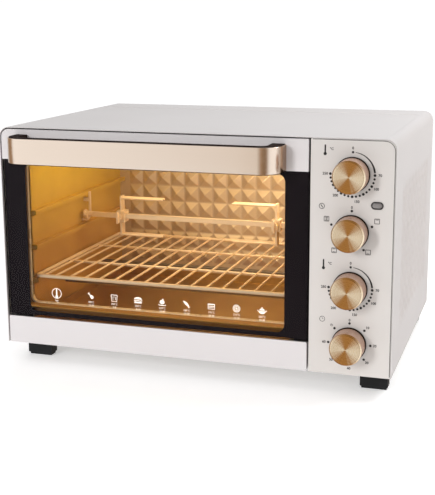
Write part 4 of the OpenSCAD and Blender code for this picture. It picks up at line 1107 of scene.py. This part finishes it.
WHITE, WARM, BROWN = (1.0, 1.0, 1.0), (1.0, 0.92, 0.84), (1.0, 0.66, 0.40)


def world():
    """Even light on everything, and a ring of flags and soft boxes for what reflects."""
    sky = bpy.data.worlds.new("studio")
    bpy.context.scene.world = sky
    sky.use_nodes = True
    tree = sky.node_tree
    tree.nodes.clear()
    out = tree.nodes.new("ShaderNodeOutputWorld")
    plain = tree.nodes.new("ShaderNodeBackground")
    plain.inputs[0].default_value = (1, 1, 1, 1)
    plain.inputs[1].default_value = 1.05
    room = tree.nodes.new("ShaderNodeBackground")
    room.inputs[1].default_value = 0.85
    coords = tree.nodes.new("ShaderNodeTexCoord")
    split = tree.nodes.new("ShaderNodeSeparateXYZ")
    tree.links.new(coords.outputs["Generated"], split.inputs[0])
    turn = tree.nodes.new("ShaderNodeMath")
    turn.operation = "ARCTAN2"
    back = tree.nodes.new("ShaderNodeMath")
    back.operation = "MULTIPLY"
    back.inputs[1].default_value = -1
    tree.links.new(split.outputs["Y"], back.inputs[0])
    tree.links.new(split.outputs["X"], turn.inputs[0])
    tree.links.new(back.outputs[0], turn.inputs[1])
    share = tree.nodes.new("ShaderNodeMapRange")
    share.inputs["From Min"].default_value = -pi
    share.inputs["From Max"].default_value = pi
    tree.links.new(turn.outputs[0], share.inputs["Value"])
    # Flags and soft boxes round the room: angle to the right of the front, brightness and tint
    ramp = tree.nodes.new("ShaderNodeValToRGB")
    stops = (
        (-180, 0.9, WHITE), (-130, 0.8, WHITE), (-104, 0.35, BROWN), (-80, 0.4, BROWN), (-66, 1.1, WHITE),
        (-30, 1.13, WHITE), (-20, 1.0, WHITE), (-14, 0.86, WARM), (-8, 0.70, WARM), (8, 0.42, BROWN),
        (22, 0.28, BROWN), (36, 0.30, BROWN), (54, 1.1, WHITE), (96, 1.2, WHITE), (108, 0.5, BROWN),
        (150, 0.42, BROWN), (172, 0.9, WHITE),
    )
    elements = ramp.color_ramp.elements
    while len(elements) < len(stops):
        elements.new(0.5)
    for element, (angle, value, tint) in zip(elements, stops):
        element.position = (angle + 180) / 360
        element.color = (value * tint[0], value * tint[1], value * tint[2], 1)
    tree.links.new(share.outputs[0], ramp.inputs[0])
    rise = tree.nodes.new("ShaderNodeMapRange")
    rise.inputs["From Min"].default_value = 0.25
    rise.inputs["From Max"].default_value = 0.95
    tree.links.new(split.outputs["Z"], rise.inputs["Value"])
    mix = tree.nodes.new("ShaderNodeMix")
    mix.data_type = "RGBA"
    mix.inputs["B"].default_value = (0.5, 0.5, 0.51, 1)
    tree.links.new(rise.outputs[0], mix.inputs["Factor"])
    tree.links.new(ramp.outputs[0], mix.inputs["A"])
    tree.links.new(mix.outputs["Result"], room.inputs[0])
    even = tree.nodes.new("ShaderNodeBackground")
    even.inputs[0].default_value = (1.0, 0.985, 0.98, 1)
    even.inputs[1].default_value = 0.5
    path = tree.nodes.new("ShaderNodeLightPath")
    choose = tree.nodes.new("ShaderNodeMixShader")
    gloss = tree.nodes.new("ShaderNodeMixShader")
    tree.links.new(path.outputs["Is Glossy Ray"], gloss.inputs[0])
    tree.links.new(even.outputs[0], gloss.inputs[1])
    tree.links.new(room.outputs[0], gloss.inputs[2])
    tree.links.new(path.outputs["Is Camera Ray"], choose.inputs[0])
    tree.links.new(gloss.outputs[0], choose.inputs[1])
    tree.links.new(plain.outputs[0], choose.inputs[2])
    tree.links.new(choose.outputs[0], out.inputs[0])


world()
bpy.context.scene.view_settings.view_transform = "Standard"


def camera():
    """Stands a little to the right of the dials, looking left and down."""
    lens = bpy.data.cameras.new("camera")
    lens.sensor_fit = "AUTO"
    lens.sensor_width = 36
    lens.lens = 75.209
    lens.shift_x = -0.0228
    lens.shift_y = -0.0543
    lens.clip_start, lens.clip_end = 0.05, 50
    eye = bpy.data.objects.new("camera", lens)
    turn, dip, tilt = radians(17.376), radians(11.422), radians(-0.192)
    eye.location = (0.41221, -1.31242, 0.4493)
    eye.rotation_euler = (
        Matrix.Rotation(turn, 3, "Z") @ Matrix.Rotation(pi / 2 - dip, 3, "X") @ Matrix.Rotation(tilt, 3, "Z")
    ).to_euler()
    bpy.context.scene.collection.objects.link(eye)
    bpy.context.scene.camera = eye


camera()
